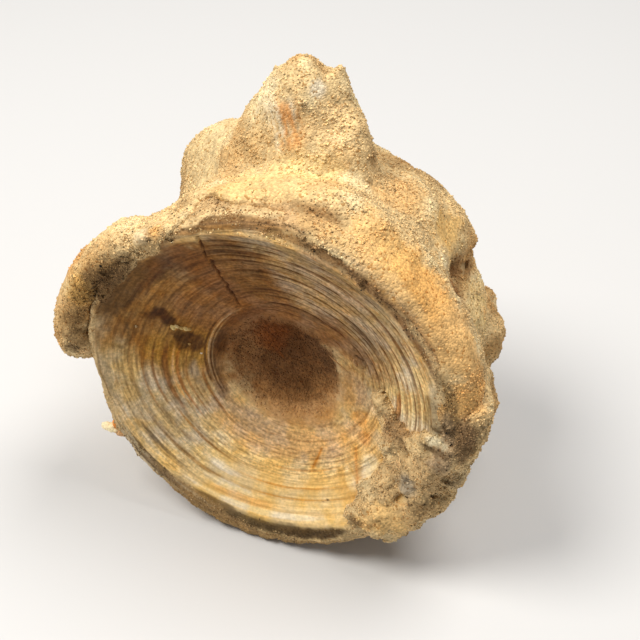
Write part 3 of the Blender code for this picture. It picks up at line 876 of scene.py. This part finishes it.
# Fine ribs of bone that show on the spine: their middle, and the ways along and across.
RIB_MIDDLE = np.array((-2.1, -7.6, 73.0))
RIB_RUN = np.array((0.388, -0.375, -0.842))
RIB_ACROSS = np.array((0.872, 0.443, 0.206))


def ribs(points):
    """Where the ribs show, from 0 to 1, and how high they stand, from -1 to 1."""
    off = points - RIB_MIDDLE
    along, across = off @ RIB_RUN, off @ RIB_ACROSS
    share = (1.0 - step(np.abs(along), 2.4, 4.6)) * (1.0 - step(np.abs(across), 1.4, 3.0))
    share *= 1.0 - step(points[:, 1], -4.5, -2.5)
    place = np.column_stack((across * 1.25, along * 0.16, np.zeros(len(points))))
    return share, noise_at(place, 1.0, 51.0)


def gritty(points):
    """How gritty the stone is at each point, from 0 to 1."""
    grit = 0.35 + 0.65 * step(noise_at(points, 1 / 5.0, 31.0), -0.35, 0.35)
    for middle, reach in SMOOTH_PLACES:
        off = reaches_off(points, middle, reach)
        grit *= 1.0 - 0.85 * (1.0 - step(off, 0.7, 1.3))
    return grit


def plates(points):
    """Broken plates of stone: their height, and how near their edges are, from 0 to 1."""
    local, radius, degrees = to_disc(points)
    crust = 1.0 - step(np.abs(degrees + 27.0), 36.0, 48.0)
    crust *= step(local[:, 2], -8.0, -4.0) * step(radius, 16.0, 18.0)
    height = np.zeros(len(points))
    edge = np.zeros(len(points))
    for n, (size, drop) in enumerate(((4.6, 0.5), (3.1, 0.42), (2.0, 0.3))):
        level = noise_at(points, 1 / size, 41.0 + 2 * n)
        high = drop * (0.25 + 0.75 * crust)
        height += high * (step(level, -0.02, 0.10) - 0.5)
        edge = np.maximum(edge, high / 0.5 * np.exp(-((level - 0.01) / 0.045) ** 2))
    return height, edge


def add_ball(bm, place, turn, half_widths, subdivisions):
    """A ball stretched to its half-widths in millimetres; gives its points."""
    size = Matrix.Diagonal([*(w * MM for w in half_widths), 1.0])
    whole = Matrix.Translation(place) @ turn.to_4x4() @ size
    made = bmesh.ops.create_icosphere(
        bm, subdivisions=subdivisions, radius=1.0, matrix=whole
    )
    return made["verts"]


def add_bead(bm, radius, degrees, depth, half_widths):
    """A lump on the rim: half-widths outwards, along the rim, and in depth."""
    turn = math.radians(degrees)
    place = disc_to_world((radius * math.cos(turn), radius * math.sin(turn), -depth))
    whole_turn = Matrix(LEAN.tolist()) @ Matrix.Rotation(turn, 3, "Z")
    add_ball(bm, place, whole_turn, half_widths, 2)


def add_cement(bm):
    for degrees in range(CEMENT[0][0], CEMENT[-1][0] + 1, 4):
        inside = float(between(CEMENT, degrees))
        if inside < 0.5:
            continue
        for depth in CEMENT_DEPTHS:
            radius = float(rim_outline(degrees)) - inside
            add_bead(bm, radius, degrees, depth, (inside * 1.25, 3.2, 1.9))
    for radius, degrees, depth in LAPS:
        add_bead(bm, radius, degrees, depth, (2.3, 2.2, 1.5))


def add_fills(bm):
    for middle, half_widths in FILLS:
        add_ball(bm, Vector(middle) * MM, Matrix.Identity(3), half_widths, 3)


def softened(mesh, points, share, rounds):
    """Points eased towards their neighbours, each by its own share."""
    ends = np.empty(len(mesh.edges) * 2, np.int32)
    mesh.edges.foreach_get("vertices", ends)
    a, b = ends.reshape(-1, 2).T
    count = np.bincount(a, minlength=len(points)) + np.bincount(b, minlength=len(points))
    moved = points.copy()
    for _ in range(rounds):
        for column in range(3):
            total = np.bincount(a, moved[b, column], len(points))
            total += np.bincount(b, moved[a, column], len(points))
            moved[:, column] += share * (total / count - moved[:, column])
    return moved


def belts(tint, points):
    """Lays the belts of the rim over the tint of the stone near it."""
    local, radius, degrees = to_disc(points)
    belted = stained(tint, radius, degrees, points, RIM_STAINS)
    near = step(local[:, 2], -5.0, -3.5)[:, None]
    return tint + (belted - tint) * near


def stone_tint(points):
    """The colour of the stone at points given in millimetres."""
    tint = np.tile(linear(*STONE_GROUND), (len(points), 1))
    broad = noise_at(points, 1 / 9.0, 21.0)
    tint = mixed(tint, WARM_PATCH, 0.75 * step(broad, 0.05, 0.6))
    patchy = noise_at(points, 1 / 5.0, 23.0)
    tint = mixed(tint, PALE_PATCH, 0.7 * step(patchy, 0.1, 0.6))
    tint = mixed(tint, DARK_PATCH, 0.6 * step(-patchy, 0.25, 0.7))
    ragged = 0.3 * noise_at(points, 0.4, 25.0) + 0.15 * noise_at(points, 1.3, 27.0)
    for middle, reach, colour, strength in STONE_STAINS_AND_SHADE:
        off = reaches_off(points, middle, reach)
        tint = mixed(tint, colour, strength * step(1.1 + ragged - off, 0.0, 0.7))
    share, wave = ribs(points)
    tint = mixed(tint, RIB_GAP, 0.85 * share * step(wave, 0.0, 0.4))
    tint = mixed(tint, RIB_TOP, 0.85 * share * step(-wave, -0.05, 0.35))
    return belts(tint, points)


def settled(points, normals, tree):
    """Closes the stone on the bone: where it faces the bone it sinks a little into it,
    and where it lies over the bone it stays clear of it."""
    moved = points.copy()
    local, _, degrees = to_disc(points)
    in_crack = (degrees > CRACK_DEGREES[0]) & (degrees < CRACK_DEGREES[1])
    in_crack &= (local[:, 2] > -7.0) & (local[:, 0] > -33.0)
    for n in np.nonzero(~in_crack)[0]:
        near, facing, _, _ = tree.find_nearest(Vector(points[n] * MM), 2.5 * MM)
        if near is None:
            continue
        near, facing = np.array(near) / MM, np.array(facing)
        height = (points[n] - near) @ facing
        turned = normals[n] @ facing
        if turned < -0.2 and height < 1.4:
            moved[n] = points[n] - facing * (height + 0.5)
        elif turned > 0.3 and height < 0.6:
            moved[n] = points[n] + facing * (0.6 - height)
    return moved


def tree_of(piece):
    bm = bmesh.new()
    bm.from_mesh(piece.data)
    tree = BVHTree.FromBMesh(bm)
    bm.free()
    return tree


def make_stone(tree):
    bm = merged_copy("matrix")
    add_fills(bm)
    add_cement(bm)
    piece = add_piece("sandstone_matrix", mesh_from(bm, "sandstone_matrix"))
    skin = piece.modifiers.new("fine skin", "REMESH")
    skin.mode = "VOXEL"
    skin.voxel_size = SKIN_SPACE * MM
    baked(piece)
    mesh = piece.data

    points = softened(mesh, get_points(mesh) / MM, 0.5, ROUNDS)
    x, y, z = points.T
    behind = step(y, -17.0, -11.0) * step(z, 40.0, 50.0)
    behind *= 1.0 - 0.8 * step(z, 73.0, 77.0)
    above = step(z, 61.0, 65.0) * step(y, -23.0, -20.5) * (1.0 - step(y, -13.0, -9.0))
    rear = step(y, 3.0, 8.0) * step(z, 2.0, 6.0) * (1.0 - step(x, 20.0, 25.0))
    share = 0.5 * np.maximum.reduce((behind, above, rear))
    points = softened(mesh, points, share, MORE_ROUNDS)
    points = pushed(points, DENTS + PUSHES)
    local, radius, degrees = to_disc(points)
    worn = between(WEAR, degrees) * step(radius, 28.0, 32.0)
    worn *= step(local[:, 2], -14.0, -9.0)
    inward = local * (1.0, 1.0, 0.0) / np.maximum(radius, 1.0)[:, None]
    points -= (inward * worn[:, None]) @ LEAN.T
    set_points(mesh, points * MM)
    normals = rows_of(mesh.vertex_normals, "vector")
    harsh = gritty(points)
    rise = 0.22 * noise_at(points, 1 / 6.0) + 0.10 * noise_at(points, 1 / 2.6, 2.0)
    plate_rise, plate_edge = plates(points)
    rise += plate_rise
    share, wave = ribs(points)
    rise -= 0.28 * share * wave
    rise += (0.04 + 0.12 * harsh) * noise_at(points, 1 / 1.2, 4.0)
    rise += (0.02 + 0.10 * harsh) * noise_at(points, 1 / 0.7, 6.0)
    moved = settled(points + normals * rise[:, None], normals, tree)
    moved[:, 2] = np.maximum(moved[:, 2], 0.0)
    set_points(mesh, moved * MM)
    tint = stone_tint(moved) * (1.0 - 0.44 * plate_edge[:, None])
    store(mesh, "tint", tint, "FLOAT_COLOR")
    mesh.shade_smooth()
    return piece


# Sand.

# How much lighter or darker than the stone a grain is: its share, and the factor.
GRAIN_SHADES = ((0.30, 1.16), (0.34, 0.98), (0.22, 0.80), (0.09, 0.58), (0.05, 0.34))

# The sand on the stone and on the bone: places tried, the most grains kept, their width
# in millimetres, and how strongly their shades differ. One piece holds SAND_SHARE grains.
STONE_SAND = (240000, 96000, 0.30, 0.88)
FACE_SAND = (90000, 24000, 0.24, 0.7)
SAND_SHARE = 24000


def triangles_of(mesh):
    mesh.calc_loop_triangles()
    corners = np.empty(len(mesh.loop_triangles) * 3, np.int32)
    mesh.loop_triangles.foreach_get("vertices", corners)
    return corners.reshape(-1, 3)


def scatter(piece, count, most, wanted, draw):
    """Places on a piece's skin, in millimetres, with their normals. wanted gives each
    place's chance to be kept, from 0 to 1, and no more than most are kept."""
    corners = triangles_of(piece.data)
    points = get_points(piece.data) / MM
    a, b, c = (points[corners[:, n]] for n in range(3))
    across = np.cross(b - a, c - a)
    area = np.linalg.norm(across, axis=1)
    pick = draw.choice(len(corners), count, p=area / area.sum())
    u, v = draw.random((2, count))
    over = u + v > 1.0
    u, v = np.where(over, 1.0 - u, u), np.where(over, 1.0 - v, v)
    places = a[pick] + (b - a)[pick] * u[:, None] + (c - a)[pick] * v[:, None]
    normals = across[pick] / np.maximum(area[pick], 1e-9)[:, None]
    kept = draw.random(count) < wanted(places, normals)
    return places[kept][:most], normals[kept][:most]


def random_turns(count, draw):
    """As many turns in space, as 3 x 3 arrays."""
    found = draw.normal(size=(count, 4))
    w, x, y, z = found.T / np.linalg.norm(found, axis=1)
    return np.array((
        (1 - 2 * (y * y + z * z), 2 * (x * y - z * w), 2 * (x * z + y * w)),
        (2 * (x * y + z * w), 1 - 2 * (x * x + z * z), 2 * (y * z - x * w)),
        (2 * (x * z - y * w), 2 * (y * z + x * w), 1 - 2 * (x * x + y * y)),
    )).transpose(2, 0, 1)


def octahedron():
    """A grain with eight faces: its points and triangles."""
    points = np.array((
        (1, 0, 0), (-1, 0, 0), (0, 1, 0), (0, -1, 0), (0, 0, 1), (0, 0, -1),
    ))
    corners = [
        (a, b, c) if (a + b + c) % 2 == 0 else (a, c, b)
        for a in (0, 1) for b in (2, 3) for c in (4, 5)
    ]
    return points * 0.5, np.array(corners)


def grains(name, places, normals, tints, size, contrast, draw):
    """One mesh of grains that are half sunk in the skin."""
    shape, corners = octahedron()
    count = len(places)
    width = size * draw.uniform(0.65, 1.35, count)
    width *= np.exp(0.25 * draw.normal(size=count))
    squash = draw.uniform(0.75, 1.2, (count, 1, 3))
    turned = np.einsum("nij,npj->npi", random_turns(count, draw), shape[None] * squash)
    centre = places + normals * (width * 0.08)[:, None]
    points = centre[:, None] + turned * width[:, None, None]
    points = points.reshape(-1, 3)
    points[:, 2] = np.maximum(points[:, 2], 0.0)
    faces = (corners[None] + np.arange(count)[:, None, None] * len(shape)).reshape(-1, 3)
    mesh = bpy.data.meshes.new(name)
    mesh.vertices.add(len(points))
    mesh.vertices.foreach_set("co", (points * MM).astype(np.float32).ravel())
    mesh.loops.add(faces.size)
    mesh.loops.foreach_set("vertex_index", faces.astype(np.int32).ravel())
    mesh.polygons.add(len(faces))
    mesh.polygons.foreach_set("loop_start", np.arange(0, faces.size, 3, dtype=np.int32))
    mesh.update(calc_edges=True)
    share = draw.random(count)
    shade = np.ones(count)
    low = 0.0
    for part, factor in GRAIN_SHADES:
        shade[(share >= low) & (share <= low + part)] = factor
        low += part
    shade = 1.0 + (shade - 1.0) * contrast * (1.0 + 0.7 * in_belt(places))
    own = np.clip(tints * shade[:, None], 0.004, 0.95)
    store(mesh, "tint", np.repeat(own, len(shape), axis=0), "FLOAT_COLOR")
    mesh.shade_smooth()
    return add_piece(name, mesh)


def in_belt(places):
    """1 in the dark gritty belt round the top of the dish, and 0 away from it."""
    local, radius, degrees = to_disc(places)
    near = 1.0 - step(np.abs(radius - 30.8), 1.2, 2.4)
    return near * (local[:, 2] > -4.0) * (1.0 - step(np.abs(degrees - 78.0), 76.0, 90.0))


def on_open_skin(tree):
    """A chance for grains that is 0 on the underside and against the bone."""
    def wanted(places, normals):
        chance = gritty(places) * (places[:, 2] > 0.25)
        hidden = [
            tree.ray_cast(Vector((p + n * 0.7) * MM), Vector(n), 1.2 * MM)[0] is not None
            for p, n in zip(places, normals)
        ]
        return chance * ~np.array(hidden)
    return wanted


def on_face(places, normals):
    """A chance for grains that is high in the pit and on the rim, and 0 elsewhere."""
    local, radius, _ = to_disc(places)
    pit_up = local[:, 1] - RING_DRIFT[0][2] * (radius < 16)
    front = normals @ LEAN[:, 2] > -0.2
    pit = 1.0 - step(np.hypot(local[:, 0], pit_up), 8.5, 11.5)
    rim = step(radius, 29.0, 30.0)
    patchy = step(noise_at(places, 1 / 3.0, 43.0), -0.3, 0.3)
    return np.clip(pit + rim * (0.25 + 0.75 * patchy), 0, 1) * front


def make_sand(stone, bone, tree):
    draw = np.random.default_rng(3)
    made = []
    tried, most, size, contrast = STONE_SAND
    places, normals = scatter(stone, tried, most, on_open_skin(tree), draw)
    tints = stone_tint(places)
    parts = math.ceil(len(places) / SAND_SHARE)
    for n in range(parts):
        part = slice(n, None, parts)
        chosen = (places[part], normals[part], tints[part])
        made.append(grains(f"stone_sand_{n + 1}", *chosen, size, contrast, draw))

    tried, most, size, contrast = FACE_SAND
    places, normals = scatter(bone, tried, most, on_face, draw)
    local, radius, _ = to_disc(places)
    inside = 1.0 - step(radius, 13.0, 22.0)
    flat = local[:, :2] - inside[:, None] * np.array(RING_DRIFT[0][1:])
    radius = np.hypot(flat[:, 0], flat[:, 1])
    degrees = np.degrees(np.arctan2(flat[:, 1], flat[:, 0]))
    tints = bone_tint(radius, radius, degrees, local)
    made.append(grains("face_sand", places, normals, tints, size, contrast, draw))
    return made


# Small pieces on the bone.

# Crumbs of sand: radius, degrees, length, width and colour.
CRUMBS = (
    (19.5, 163.6, 0.8, 0.5, (228, 200, 132)),
    (19.1, 162.4, 0.7, 0.36, (244, 220, 160)),
    (18.6, 162.8, 0.9, 0.34, (206, 176, 112)),
    (17.9, 162.3, 0.9, 0.42, (222, 194, 130)),
    (17.4, 161.8, 0.5, 0.3, (190, 158, 98)),
    (15.4, 179, 0.3, 0.26, (236, 224, 200)),
    (17, 173, 0.3, 0.22, (190, 150, 90)),
    (24, 168, 0.35, 0.28, (190, 168, 128)),
    (13.2, 28.5, 1.1, 0.42, (176, 136, 92)),
)

# The sliver's ends, as radius and degrees.
SLIVER = ((9.8, 34.0), (11.4, 19.0))

# The splinter's root, and its lumps: offset from the root, direction, half-widths and
# colour.
SPLINTER = (-27.9, -26.9, 16.9)
SPLINTER_LUMPS = (
    ((0.5, 0.0, 0.4), (0.2, 0.0, 1.0), (1.6, 0.46, 0.5), (240, 152, 72)),
    ((-0.7, 0.0, -0.9), (-1.0, 0.0, 0.15), (1.6, 0.8, 0.85), (255, 236, 190)),
    ((0.2, 0.1, -1.2), (1.0, 0.0, -0.3), (1.2, 0.7, 0.7), (240, 202, 146)),
    ((1.1, 0.2, -1.7), (1.0, 0.0, -0.7), (1.2, 0.7, 0.7), (216, 170, 120)),
)


def on_dish(radius, degrees, lift=0.0):
    """A place on the dish, in world millimetres, and the way out of it."""
    turn = math.radians(degrees)
    rows = np.array([corner for _, corners in (PIT, GROWTH) for corner in corners])
    height = float(np.interp(radius, rows[:, 0], rows[:, 1]))
    slope = float(np.interp(radius + 1, rows[:, 0], rows[:, 1])) - height
    out = np.array((-slope * math.cos(turn), -slope * math.sin(turn), 1.0))
    out /= np.linalg.norm(out)
    drift = [float(between(RING_DRIFT, radius, column)) for column in (1, 2)]
    place = np.array((
        radius * math.cos(turn) + drift[0], radius * math.sin(turn) + drift[1], height,
    ))
    return DISH_CENTRE + LEAN @ (place + out * lift), LEAN @ out


def lump(bm, middle, towards, half_widths, seed):
    """A worn lump with its longest side pointing towards a direction."""
    place = Vector(middle) * MM
    turn = Vector(towards).to_track_quat("X", "Z").to_matrix()
    verts = add_ball(bm, place, turn, half_widths, 3)
    points = np.array([vert.co for vert in verts]) / MM
    rise = noise_at(points, 1.4, seed) * 0.35 + noise_at(points, 4.0, seed) * 0.12
    for vert, share in zip(verts, rise):
        vert.co = place + (vert.co - place) * (1.0 + share)
    return verts


def finished(name, bm, colours):
    """A small piece made of lumps, each with its own colour."""
    mesh = mesh_from(bm, name)
    mesh.shade_smooth()
    store(mesh, "tint", np.array(colours), "FLOAT_COLOR")
    return add_piece(name, mesh)


def make_crumbs():
    bm = bmesh.new()
    colours = []
    for n, (radius, degrees, length, width, colour) in enumerate(CRUMBS):
        middle, _ = on_dish(radius, degrees, width * 0.2)
        inward, _ = on_dish(radius - 0.5, degrees, width * 0.2)
        ahead, _ = on_dish(radius, degrees + 1.0, width * 0.2)
        towards = ahead - middle if radius < 14.0 else inward - middle
        half_widths = (length / 2 + 0.1, width, width * 0.6)
        verts = lump(bm, middle, towards, half_widths, 50.0 + n)
        colours += [linear(*colour)] * len(verts)
    return finished("dish_crumbs", bm, colours)


def make_sliver():
    """A thin sliver of bone lying at the edge of the pit."""
    start, _ = on_dish(*SLIVER[0], 0.5)
    end, _ = on_dish(*SLIVER[1], 0.3)
    bm = bmesh.new()
    length = float(np.linalg.norm(end - start))
    verts = lump(bm, (start + end) / 2, end - start, (length / 2, 0.11, 0.13), 61.0)
    return finished("pit_sliver", bm, [linear(178, 134, 86)] * len(verts))


def make_splinter():
    """The splinter that sticks out of the rim at the lower left."""
    bm = bmesh.new()
    colours = []
    for offset, towards, size, colour in SPLINTER_LUMPS:
        middle = np.array(SPLINTER) + offset
        verts = lump(bm, middle, towards, size, 71.0 + len(colours))
        colours += [linear(*colour)] * len(verts)
    return finished("rim_splinter", bm, colours)


# Materials.


def plug(tree, made, inputs):
    """Gives a node its inputs, each as a value or as another node's output."""
    for key, value in inputs.items():
        if isinstance(value, bpy.types.NodeSocket):
            tree.links.new(value, made.inputs[key])
        else:
            made.inputs[key].default_value = value


def node(tree, kind, inputs=None, **settings):
    made = tree.nodes.new("ShaderNode" + kind)
    for name, value in settings.items():
        setattr(made, name, value)
    plug(tree, made, inputs or {})
    return made


def maths(tree, how, a, b=0.0):
    return node(tree, "Math", {0: a, 1: b}, operation=how).outputs[0]


def times(tree, a, b):
    return maths(tree, "MULTIPLY", a, b)


def noise_map(tree, vector, scale, detail):
    inputs = {"Vector": vector, "Scale": scale, "Detail": detail}
    return node(tree, "TexNoise", inputs).outputs[0]


def spread(tree, value, low, high, to_low=0.0, to_high=1.0):
    """A value carried smoothly from one range to another."""
    inputs = {0: value, 1: low, 2: high, 3: to_low, 4: to_high}
    return node(tree, "MapRange", inputs, interpolation_type="SMOOTHSTEP").outputs[0]


def blend(tree, share, a, b, how="MIX"):
    made = node(tree, "Mix", {0: share, 6: a, 7: b}, data_type="RGBA", blend_type=how)
    return made.outputs[2]


def dyed(tree, colour, dye):
    return blend(tree, 1.0, colour, dye, "MULTIPLY")


def shaded(tree, colour, value):
    """A colour made lighter or darker by a value."""
    shade = node(tree, "CombineColor", {0: value, 1: value, 2: value}).outputs[0]
    return dyed(tree, colour, shade)


def object_place(tree):
    return node(tree, "TexCoord").outputs["Object"]


def bumped(tree, strength, distance, height):
    inputs = {"Strength": strength, "Distance": distance, "Height": height}
    return node(tree, "Bump", inputs).outputs[0]


def attribute(tree, name):
    return node(tree, "Attribute", attribute_name=name)


def new_material(name):
    """A material, with its node tree and its shader node."""
    made = bpy.data.materials.new(name)
    made.use_nodes = True
    return made, made.node_tree, made.node_tree.nodes["Principled BSDF"]


def sand_look(tree, tint):
    """Sandstone on a tint: its colour, and the height of its grains."""
    place = object_place(tree)
    cells = node(tree, "TexVoronoi", {"Vector": place, "Scale": 3000.0})
    tone = node(tree, "SeparateColor", {0: cells.outputs["Color"]}).outputs[0]
    mottle = noise_map(tree, place, 420.0, 4.0)
    lit = spread(tree, tone, 0.0, 1.0, 0.74, 1.14)
    lit = times(tree, lit, spread(tree, mottle, 0.3, 0.7, 0.84, 1.1))
    colour = shaded(tree, tint, lit)
    dark = dyed(tree, colour, (0.54, 0.43, 0.32, 1))
    colour = blend(tree, spread(tree, tone, 0.90, 0.96), colour, dark)
    height = maths(tree, "SUBTRACT", 1.0, cells.outputs["Distance"])
    return colour, height


def bone_material():
    made, tree, shader = new_material("fossil_bone")
    growth = attribute(tree, "growth").outputs["Vector"]
    tint = attribute(tree, "tint").outputs["Color"]
    names = ("lined", "sandy", "relief", "cracked")
    lined, sandy, relief, cracked = (attribute(tree, n).outputs["Fac"] for n in names)

    def rings(across, along, detail):
        inputs = {0: growth, 1: (across, along, along)}
        vector = node(tree, "VectorMath", inputs, operation="MULTIPLY").outputs[0]
        return noise_map(tree, vector, 1.0, detail)

    bands = rings(0.55, 1.0, 2.0)
    lines = rings(1.5, 1.6, 2.0)
    close = rings(3.1, 3.6, 2.0)
    fibres = rings(2.7, 9.0, 3.0)
    place = object_place(tree)
    pores = noise_map(tree, place, 2000.0, 3.0)
    patches = noise_map(tree, place, 230.0, 3.0)

    def line(value, thin, wide, strength):
        off = maths(tree, "ABSOLUTE", maths(tree, "SUBTRACT", value, 0.5))
        return times(tree, spread(tree, off, thin, wide, strength, 0.0), lined)

    def between_values(share, a, b):
        return node(tree, "Mix", {0: share, 2: a, 3: b}, data_type="FLOAT").outputs[0]

    lit = spread(tree, bands, 0.32, 0.68, 0.82, 1.14)
    for value in (fibres, pores):
        lit = times(tree, lit, spread(tree, value, 0.34, 0.66, 0.78, 1.20))
    busy = spread(tree, lined, 0.2, 0.42, 0.45, 1.0)
    base = shaded(tree, tint, between_values(busy, 1.0, lit))
    ochre = dyed(tree, base, (1.0, 0.90, 0.66, 1))
    base = blend(tree, spread(tree, patches, 0.42, 0.6), base, ochre)
    pale = dyed(tree, base, (0.97, 1.0, 1.12, 1))
    base = blend(tree, spread(tree, patches, 0.46, 0.34), base, pale)
    rusty = dyed(tree, base, (0.74, 0.52, 0.32, 1))
    base = blend(tree, line(lines, 0.004, 0.016, 0.9), base, rusty)
    base = blend(tree, line(close, 0.006, 0.03, 0.55), base, rusty)
    # Dark growth lines and cracks, with painted shade that grows with the depth of their
    # grooves.
    groove = times(tree, spread(tree, relief, -0.24, -0.07, 1.0, 0.0), lined)
    dark_line_and_shade = dyed(tree, base, (0.34, 0.22, 0.13, 1))
    base = blend(tree, times(tree, groove, 0.85), base, dark_line_and_shade)
    base = blend(tree, cracked, base, dark_line_and_shade)
    sand, height = sand_look(tree, tint)
    fine = maths(tree, "ADD", times(tree, close, 0.5), times(tree, pores, 0.5))
    plug(tree, shader, {
        "Base Color": blend(tree, sandy, base, sand),
        "Roughness": spread(tree, bands, 0.3, 0.7, 0.66, 0.88),
        "Specular IOR Level": 0.15,
        "Normal": bumped(tree, 0.5, 0.00016, between_values(sandy, fine, height)),
    })
    return made


def stone_material():
    made, tree, shader = new_material("sandstone")
    colour, height = sand_look(tree, attribute(tree, "tint").outputs["Color"])
    plug(tree, shader, {
        "Base Color": colour, "Roughness": 0.92, "Specular IOR Level": 0.2,
        "Normal": bumped(tree, 0.6, 0.00018, height),
    })
    return made


def grain_material(name):
    made, tree, shader = new_material(name)
    dust = noise_map(tree, object_place(tree), 3000.0, 2.0)
    lit = spread(tree, dust, 0.3, 0.7, 0.8, 1.15)
    colour = shaded(tree, attribute(tree, "tint").outputs["Color"], lit)
    plug(tree, shader, {
        "Base Color": colour, "Roughness": 0.75, "Specular IOR Level": 0.25,
    })
    return made


def floor_material():
    made, tree, shader = new_material("pale_floor")
    plug(tree, shader, {"Base Color": (0.66, 0.655, 0.65, 1.0), "Roughness": 0.9})
    return made


def make_stage():
    bm = bmesh.new()
    bmesh.ops.create_grid(bm, x_segments=1, y_segments=1, size=1.5)
    floor = add_piece("floor", mesh_from(bm, "floor"))
    floor.data.materials.append(floor_material())


def area_light(name, place, aim, size, power, colour=(1, 1, 1)):
    data = bpy.data.lights.new(name, "AREA")
    data.shape = "DISK"
    data.size = size
    data.energy = power
    data.color = colour
    lamp = bpy.data.objects.new(name, data)
    lamp.location = place
    lamp.rotation_euler = (Vector(place) - Vector(aim)).to_track_quat("Z", "Y").to_euler()
    bpy.context.scene.collection.objects.link(lamp)


def make_lights():
    middle = (0.0, -0.01, 0.04)
    area_light("key", (-0.24, -0.15, 0.52), middle, 0.25, 2.85, (1.0, 0.97, 0.92))
    area_light("top", (0.14, 0.12, 0.55), middle, 0.30, 2.1, (1.0, 0.98, 0.95))
    world = bpy.data.worlds.new("studio")
    world.use_nodes = True
    sky = world.node_tree.nodes["Background"]
    plug(world.node_tree, sky, {"Color": (0.8, 0.82, 0.85, 1), "Strength": 0.28})
    bpy.context.scene.world = world


def make_camera():
    """The camera looks down on the dish, from its right."""
    around, above, away = math.radians(20), math.radians(44), 186 * MM
    aim = Vector((6.889, -17.377, 44.917)) * MM
    back = Vector((
        math.sin(around) * math.cos(above),
        -math.cos(around) * math.cos(above),
        math.sin(above),
    ))
    data = bpy.data.cameras.new("camera")
    data.sensor_fit = "HORIZONTAL"
    data.lens_unit = "FOV"
    data.angle = math.radians(30)
    data.clip_start = 0.01
    camera = bpy.data.objects.new("camera", data)
    camera.location = aim + back * away
    camera.rotation_euler = back.to_track_quat("Z", "Y").to_euler()
    bpy.context.scene.collection.objects.link(camera)
    bpy.context.scene.camera = camera


bone = make_bone()
bone.data.materials.append(bone_material())
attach(bone, "root")
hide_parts("vertebra")

bone_tree = tree_of(bone)
stone = make_stone(bone_tree)
stone.data.materials.append(stone_material())
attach(stone, "root")
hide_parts("matrix")

loose = grain_material("sand_grains")
for piece in make_sand(stone, bone, bone_tree):
    piece.data.materials.append(loose)
    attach(piece, "root")

chips = grain_material("bone_chips")
for piece in (make_crumbs(), make_sliver(), make_splinter()):
    piece.data.materials.append(chips)
    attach(piece, "root")

make_stage()
make_lights()
make_camera()
bpy.context.scene.view_settings.view_transform = "Standard"
